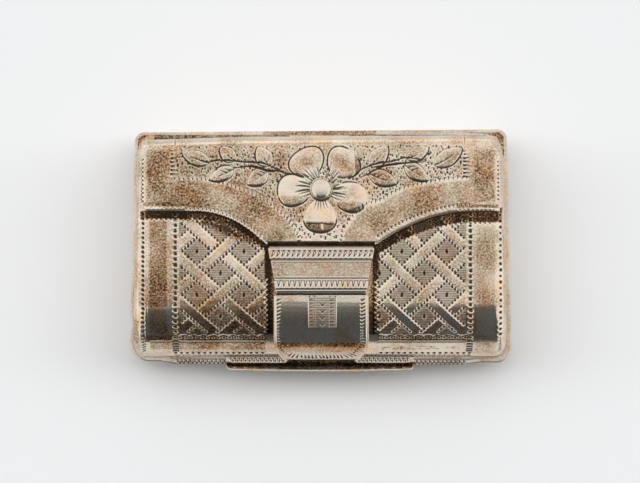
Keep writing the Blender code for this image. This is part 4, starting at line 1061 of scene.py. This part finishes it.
tongue_outer = tongue_skin(0, 1)
tongue_marked, tongue_marks = marked(tongue_board, tongue_outer - [STRAP_X, 0, 0], tongue_run[:, None])
tongue_marked = tongue_marked + [STRAP_X, 0, 0]
rim = tongue_half[:, None] * (1 - np.abs(tongue_share))[None, :]
bead = 0.08 * np.exp(-((rim - 0.13) / 0.08) ** 2)
eased = edge_eased(tongue_outer, 0.1, 0.09, ((1, 1), (1, -1), (0, -1)))
# The rim painted lighter as a highlight
tongue_marks[..., 1] -= 0.6 * (rim < 0.2)
tongue_outer = lifted(tongue_marked, bead - eased)
# The thin sheet is browned to a golden tone towards its tip
warm_silver = tarnished_silver("warm_tarnished_silver", "D9D0C3", "B98A58", -0.05, 0.16)
tongue = closed_sheet("tongue_dressed", tongue_outer, tongue_skin(TONGUE_SHEET, INNER_STEP), INNER_STEP,
                      tongue_marks, [warm_silver, warm_silver])
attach(tongue, "lid")
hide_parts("tongue")

# The thumbpiece. A strip of thick silver soldered along the lid's front edge, hollowed along its top
# for the thumbnail, with painted shadow in the hollow and a rounded, much rubbed outer edge painted lighter
# still as a highlight.

thumb_low, thumb_high = (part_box("thumbpiece")[k].z / MM for k in (0, 1))
THUMB_HALF, THUMB_BACK, THUMB_REACH, THUMB_BOW, THUMB_END = 7.9, -9.3, 1.25, 0.12, 0.42
thumb_x = np.linspace(-THUMB_HALF, THUMB_HALF, 201)
over_end = np.clip(np.abs(thumb_x) - (THUMB_HALF - THUMB_END), 0, THUMB_END)
thumb_depth = (THUMB_REACH - THUMB_BOW * (thumb_x / THUMB_HALF) ** 2
               - (THUMB_END - np.sqrt(np.clip(THUMB_END ** 2 - over_end ** 2, 0, None))))
thumb_share = np.concatenate([np.linspace(0, 0.75, 15)[:-1], np.linspace(0.75, 1, 19)])
THUMB_FALL, THUMB_LIP, THUMB_ROOT = 0.26, 0.24, -9.76


def thumb_skin(top, step):
    """The strip's upper or lower face."""
    depth, along = thumb_depth[::step], thumb_share[::step]
    away = depth[None, :] * (1 - along[:, None])
    y = THUMB_BACK - depth[None, :] * along[:, None]
    if top:
        lip_y = THUMB_BACK - depth[None, :] + THUMB_LIP
        hollow = THUMB_FALL * np.clip((THUMB_ROOT - y) / (THUMB_ROOT - lip_y), 0, 1)
        lip = 0.1 * np.clip((THUMB_LIP - away) / 0.07, 0, 1)
        z = thumb_high - hollow + lip - 0.05 * np.clip(1 - away / 0.04, 0, 1) ** 2
    else:
        z = thumb_low + 0.1 * np.clip(1 - away / 0.14, 0, 1) ** 2
    return grid(thumb_x[None, ::step], y, z)


thumb_board = new_board()
thumb_board["tarnish"][:] = -0.2
# Painted shadow in the upper hollow and under the tongue's tip, and darker in front of it towards the lip
tinted(thumb_board, -8, 8, -9.2, -10.36, lambda x, y, _: np.where(
    y < -10.1, 0.8, np.where((y < THUMB_ROOT) | (np.abs(x - STRAP_X) < TONGUE_TIP_HALF + 0.2), 1.4, -0.1)))
for left, right in ((-7.6, STRAP_X - 2.9), (STRAP_X + 2.9, 7.6)):
    wriggle(thumb_board, [(left, -9.6), (right, -9.6)], 0.36, 0.22, 0.12, 0.1)
# Short dashes painted lighter as glints
for x, y, _, _ in spaced([(-7.6, -10.2), (7.6, -10.2)], 0.92):
    cut(thumb_board, (x - 0.12, y), (x + 0.14, y), 0.12, 0.7, 0.06, "bright")
thumb_outer = thumb_skin(True, 1)
thumb_outer, thumb_marks = marked(thumb_board, thumb_outer, thumb_outer[..., 1])
# The lip painted lighter as a highlight
on_lip = thumb_depth[None, :] * (1 - thumb_share[:, None]) < THUMB_LIP - 0.03
thumb_marks[..., 1] = np.where(on_lip, -0.2, thumb_marks[..., 1])
thumbpiece = closed_sheet("thumbpiece_dressed", thumb_outer, thumb_skin(False, INNER_STEP), INNER_STEP,
                          thumb_marks, [filed_silver, filed_silver])
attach(thumbpiece, "lid")
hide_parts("thumbpiece")

# The tray and the hinge barrel. Raised and drawn silver, worn by handling, with wriggled borders cut round
# the tray's walls; the pin is drawn silver too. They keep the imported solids' shapes.

TRAY_BORDERS = ((2.75, 0.32, 0.26), (2.35, 0.0, 1.0), (1.1, 0.0, 1.0), (0.72, 0.3, 0.26))
# Raised silver dulled by the hand: browner and softer in its gloss than the lid
worn_tray_silver = tarnished_silver("worn_tray_silver", "DDD2C4", "97785E", 0.35, 0.22, TRAY_BORDERS)
# Drawn wire and tube: even and soft in their gloss; where no cloth reaches, grey and dull with dirt, and
# darkened further as painted shade in the gap under the lid
drawn_silver = tarnished_silver("drawn_silver", "D9CFC1", "94765C", 0.3, 0.2)
dirty_shaded_silver = tarnished_silver("dirty_shaded_drawn_silver", "8F8576", "6B5F51", 0.74, 0.4)


def coated(material, *names):
    """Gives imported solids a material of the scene."""
    for name in names:
        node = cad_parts[name]
        node.data.materials.clear()
        node.data.materials.append(material)


coated(worn_tray_silver, "base_tray")
coated(drawn_silver, "base_knuckle_centre")
coated(dirty_shaded_silver, "base_knuckle_left", "base_knuckle_right", "lid_knuckle_left", "lid_knuckle_right",
       "hinge_pin")

# The rim. A moulded wire soldered round the tray just below its mouth, squarer than the tray at the back
# corners, with a wriggled line cut along its front and short dashes along its back.

rim_low, rim_high = (np.array(corner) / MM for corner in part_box("base_rim"))
RIM_WIRE, RIM_BITE, RIM_TARNISH, FRONT_SKEW = 0.28, 0.06, -0.12, 0.0035
RIM_PLAN = {"half_back": rim_high[0] - 0.45, "half_front": rim_high[0], "back": rim_high[1],
            "front": rim_low[1]}
# Corner radii outside and inside, by the signs of x and y
RIM_CORNERS = {(1, 1): (0.8, 1.7), (-1, 1): (0.8, 1.7), (1, -1): (1.3, 1.0), (-1, -1): (1.7, 1.4)}
# It is a little wider on the right, and its wriggled part stands out at the front
RIM_WIDER, RIM_BOW, BOW_HALF, BOW_END = 0.14, 0.19, 12.3, 1.2
RIM_PITCH, RIM_CORNER_STEPS = 0.08, 24


def rim_outline(outer):
    """The rim's outer or inner outline, each point with its direction out."""
    inset = 0 if outer else RIM_WIRE + RIM_BITE
    points = []
    for x_sign, y_sign, start in ((1, -1, 270), (1, 1, 0), (-1, 1, 90), (-1, -1, 180)):
        corner = RIM_CORNERS[x_sign, y_sign][0 if outer else 1]
        y = RIM_PLAN["back" if y_sign > 0 else "front"] - y_sign * (inset + corner)
        half = half_at(RIM_PLAN, y) - inset + RIM_WIDER * (outer and x_sign > 0)
        for k in range(RIM_CORNER_STEPS + 1):
            turn = math.radians(start + 90 * k / RIM_CORNER_STEPS)
            points.append((x_sign * (half - corner) + corner * math.cos(turn),
                           y + corner * math.sin(turn), math.cos(turn), math.sin(turn)))
    runs = []
    for k, (here, after) in enumerate(zip(points, points[1:] + points[:1])):
        straight = k % (RIM_CORNER_STEPS + 1) == RIM_CORNER_STEPS
        steps = RIM_STRAIGHTS[k // (RIM_CORNER_STEPS + 1)] if straight else 1
        for m in range(steps):
            runs.append([a + (b - a) * m / steps for a, b in zip(here, after)])
    return np.array(runs)


RIM_STRAIGHTS = [int(round(length / RIM_PITCH)) for length in (17.2, 29.6, 17.2, 29.9)]
outer_line, inner_line = rim_outline(True), rim_outline(False)
# Section rows as (share of the way out, set in from the outer line, height)
RIM_SECTION = ((0, 0, 0.0), (1, 0.16, 0.0), (1, 0.07, 0.03), (1, 0.01, 0.09), (1, 0.0, 0.16),
               (1, 0.012, 0.23), (1, 0.04, 0.265), (1, 0.08, 0.28), (1, 0.13, 0.28), (1, 0.18, 0.28),
               (1, 0.23, 0.28), (1, 0.27, 0.28), (0, 0, 0.28))
rows = []
for share, inward, height in RIM_SECTION:
    line_here = outer_line if share else inner_line
    rows.append(np.column_stack([line_here[:, :2] - inward * line_here[:, 2:],
                                 np.full(len(line_here), rim_low[2] + height)]))
rim_points = np.stack(rows, axis=0)
rim_board = new_board()
wriggle(rim_board, [(-12.1, rim_low[1] - 0.04), (12.4, rim_low[1] - 0.04)], 0.36, 0.24, 0.13, 0.12)
for x, y, _, _ in spaced([(-14.0, rim_high[1] - 0.14), (14.0, rim_high[1] - 0.14)], 0.5):
    cut(rim_board, (x - 0.12, y), (x + 0.13, y + 0.02), 0.11, 0.06, 0.04)
rim_x, rim_y, rim_z = np.moveaxis(rim_points, -1, 0)
bowed = np.clip((BOW_HALF + BOW_END - np.abs(rim_x)) / BOW_END, 0, 1)
rim_y -= RIM_BOW * bowed * np.clip((-9.25 - rim_y) / 0.2, 0, 1)
rim_cut = read_off(softened(rim_board["cut"]), rim_x, rim_y) * (rim_z > rim_low[2] + 0.15)
rim_z -= rim_cut * 0.6
rim_marks = np.zeros(rim_points.shape[:2] + (4,))
rim_marks[..., 0] = np.clip(rim_cut / FULL_CUT, 0, 1)
# Browner over the middle knuckle, and darker in the back corners' inner edge: dirt with painted shade in
# the gap by the lid
inner_edge = np.array([share == 0 or inward > 0.25 for share, inward, _ in RIM_SECTION])[:, None]
rim_marks[..., 1] = (RIM_TARNISH + 0.5 * (np.abs(rim_x) < 4.8) * (rim_y > 8.0)
                     + 0.7 * inner_edge * (np.abs(rim_x) > 12.6) * (rim_y > 7.8))
rim_y += rim_x * (BACK_SKEW * np.clip(rim_y / 9, 0, 1) - FRONT_SKEW * np.clip(-rim_y / 9, 0, 1))
rim = ringed("rim_dressed", rim_points, rim_marks, False, drawn_silver)
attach(rim, "base")
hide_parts("base_rim")

# Inside. The deck, the bezel, the pierced grille with its small hinge and the lifting tab are all
# fire-gilt, so that the vinegar can't reach the silver.

coated(gilding, "base_deck", "base_bezel", "grille_plate", "grille_knuckle", "grille_hinge_left",
       "grille_hinge_right", "grille_pin", "grille_tab")

# The sponge. A trimmed slip of natural sea sponge that held the aromatic vinegar, browned with age and
# full of pores from pinholes to half a millimetre wide. It lies loose in the tray.

sponge_box = [np.array(corner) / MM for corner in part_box("sponge")]
SPONGE = {"half_back": sponge_box[1][0] - 0.42, "half_front": sponge_box[1][0], "back": sponge_box[1][1],
          "front": sponge_box[0][1], "low": sponge_box[0][2], "high": sponge_box[1][2] - 0.15,
          "front_roll": 1.7, "edge_roll": 0.9}
SPONGE_TOP = sponge_box[1][2]
sponge_board = new_board()
for _ in range(2600):
    radius = 0.07 + 0.2 * hand.random() ** 3
    punch(sponge_board, (hand.uniform(-15, 15), hand.uniform(-8.7, 8.7)), radius, 0.03 + 0.6 * radius,
          1 + 0.6 * hand.random(), hand.uniform(0, math.pi))
sponge_flat = np.linspace(SPONGE["back"] - SPONGE["edge_roll"], SPONGE["front"] + SPONGE["front_roll"], 173)
sponge_runs = section_runs(SPONGE, 0, sponge_flat, 4, 8, 4)
sponge_body = raised_skin(SPONGE, sponge_runs, np.linspace(-1, 1, 321), 4, 4, 0)
sponge_top = sponge_body.copy()
sponge_top[..., 2] = SPONGE_TOP
sponge_top, sponge_marks = marked(sponge_board, sponge_top, sponge_top[..., 1])
sponge_body[..., 2] = SPONGE["low"] + SPONGE["high"] - sponge_body[..., 2]


def sea_sponge(name):
    """Dried sea sponge: soft tan fibres, darker in the pores as painted shade, with no gloss at all."""
    made, tree, shader = new_material(name)
    marks = add_node(tree, "Attribute", attribute_name="chasing_and_painted_light")
    deep = add_node(tree, "SeparateColor", {"Color": marks.outputs["Color"]}).outputs[0]
    place = add_node(tree, "TexCoord").outputs["Object"]
    fibre = add_node(tree, "TexNoise", {"Vector": place, "Scale": 1 / (0.15 * MM), "Detail": 6.0})
    tint = add_node(tree, "Mix", {0: fibre, 6: linear("8F6A35"), 7: linear("D9B877")}, data_type="RGBA")
    tint = add_node(tree, "Mix", {0: deep, 6: tint.outputs[2], 7: linear("4A3018")}, data_type="RGBA")
    bump = add_node(tree, "Bump", {"Strength": 0.8, "Distance": 0.05 * MM, "Height": fibre})
    feed(tree, shader, {"Base Color": tint.outputs[2], "Roughness": 0.95, "Specular IOR Level": 0.1,
                        "Normal": bump})
    return made


dried_sponge = sea_sponge("dried_sea_sponge")
sponge = closed_sheet("sponge_dressed", sponge_top, sponge_body[::INNER_STEP, ::INNER_STEP], INNER_STEP,
                      sponge_marks, [dried_sponge, dried_sponge])
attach(sponge, "base")
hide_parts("sponge")

# The table, the light and the camera. A pale sweep under a large overhead softbox that stands towards
# the hinge, with nothing lit in front, so that the rolled front mirrors a dark room above the table.

TABLE_REACH, TABLE_DROP, TABLE_GLOW = 0.6, 0.00002, 0.035
floor_mesh = bpy.data.meshes.new("table")
floor_mesh.from_pydata([(x * TABLE_REACH, y * TABLE_REACH, 0)
                        for x, y in ((-1, -1), (1, -1), (1, 1), (-1, 1))], [], [(0, 1, 2, 3)])
table = in_scene("table", floor_mesh)
table.location.z = -TABLE_DROP
# Matt white card: pale, and with no gloss but the softest
matt_card, tree, shader = new_material("matt_card")
path = add_node(tree, "LightPath")
seen = add_node(tree, "Math", {0: path.outputs["Is Camera Ray"], 1: path.outputs["Is Glossy Ray"]},
                operation="MAXIMUM")
seen = add_node(tree, "Math", {0: seen, 1: path.outputs["Is Transmission Ray"]}, operation="MAXIMUM")
seen = add_node(tree, "Math", {0: seen, 1: TABLE_GLOW}, operation="MULTIPLY")
feed(tree, shader, {"Base Color": linear("EFF0F1"), "Roughness": 0.9, "Emission Color": (1, 1, 1, 1),
                    "Emission Strength": seen})
floor_mesh.materials.append(matt_card)

# Strengths: what the metal mirrors behind and in front, and what lights the rest from overhead and low
PALE_ROOM, DARK_ROOM, LOW_GLOW, OVERHEAD, LOW_BACK, FILL = 1.05, 0.112, 0.25, 2.46, 0.5, 0.1
world = bpy.data.worlds.new("studio")
bpy.context.scene.world = world
world.use_nodes = True
tree = world.node_tree
direction = add_node(tree, "TexCoord").outputs["Generated"]
parts = add_node(tree, "SeparateXYZ", {0: direction})
across = add_node(tree, "Math", {0: parts}, operation="ABSOLUTE")
aside = add_node(tree, "Math", {0: across, 1: -0.55}, operation="MULTIPLY")
ahead = add_node(tree, "Math", {0: parts.outputs[1], 1: -1.0}, operation="MULTIPLY")
ahead = add_node(tree, "Math", {0: ahead, 1: aside}, operation="ADD")
# The dark side is a narrow one, with pale walls to its left and right
walls = add_node(tree, "MapRange", {0: across, 1: 0.15, 2: 1.0, 3: 0.0, 4: -1.1})
ahead = add_node(tree, "Math", {0: ahead, 1: walls}, operation="ADD")
front = add_node(tree, "MapRange", {0: ahead, 1: 0.0, 2: 0.07, 3: PALE_ROOM, 4: DARK_ROOM},
                 interpolation_type="SMOOTHSTEP")
low = add_node(tree, "MapRange", {0: parts.outputs[2], 1: 0.4, 2: 0.1, 3: 0.0, 4: LOW_GLOW},
               interpolation_type="SMOOTHSTEP")
back = add_node(tree, "MapRange", {0: ahead, 1: 0.0, 2: -0.2, 3: 0.0, 4: 1.0})
back = add_node(tree, "Math", {0: back, 1: low}, operation="MULTIPLY")
mirrored = add_node(tree, "Math", {0: front, 1: back}, operation="ADD")
# For the table the softbox is strongest overhead and weaker low at the back, and the front is dark
turn = add_node(tree, "Math", {0: parts.outputs[2], 1: parts.outputs[1]}, operation="ARCTAN2")
high = add_node(tree, "MapRange", {0: turn, 1: 0.7, 2: 1.08, 3: LOW_BACK, 4: OVERHEAD})
ahead = add_node(tree, "MapRange", {0: turn, 1: 1.47, 2: 1.67, 3: 1.0, 4: 0.0})
bank = add_node(tree, "Math", {0: high, 1: ahead}, operation="MULTIPLY")
bank = add_node(tree, "Math", {0: bank, 1: FILL}, operation="ADD")
glossy = add_node(tree, "LightPath").outputs["Is Glossy Ray"]
level = add_node(tree, "Mix", {0: glossy, 2: bank, 3: mirrored})
# The dark side of the room is a little blue
blue = add_node(tree, "MapRange", {0: front, 1: PALE_ROOM, 2: DARK_ROOM, 3: 0.0, 4: 1.0})
blue = add_node(tree, "Math", {0: blue, 1: glossy}, operation="MULTIPLY")
tone = add_node(tree, "Mix", {0: blue, 6: (1, 1, 1, 1), 7: (0.89, 1.0, 1.12, 1)}, data_type="RGBA")
feed(tree, tree.nodes["Background"], {"Color": tone.outputs[2], "Strength": level})

CAMERA_HEIGHT, CAMERA_Y, FOCAL = 303.6, 0.42, 200.2
camera_data = bpy.data.cameras.new("camera")
camera_data.lens = FOCAL
camera_data.clip_start, camera_data.clip_end = 0.01, 5.0
camera = in_scene("camera", camera_data)
camera.location = (0.0, CAMERA_Y * MM, CAMERA_HEIGHT * MM)
camera.rotation_euler = (0.0, 0.0, 0.0)
bpy.context.scene.camera = camera
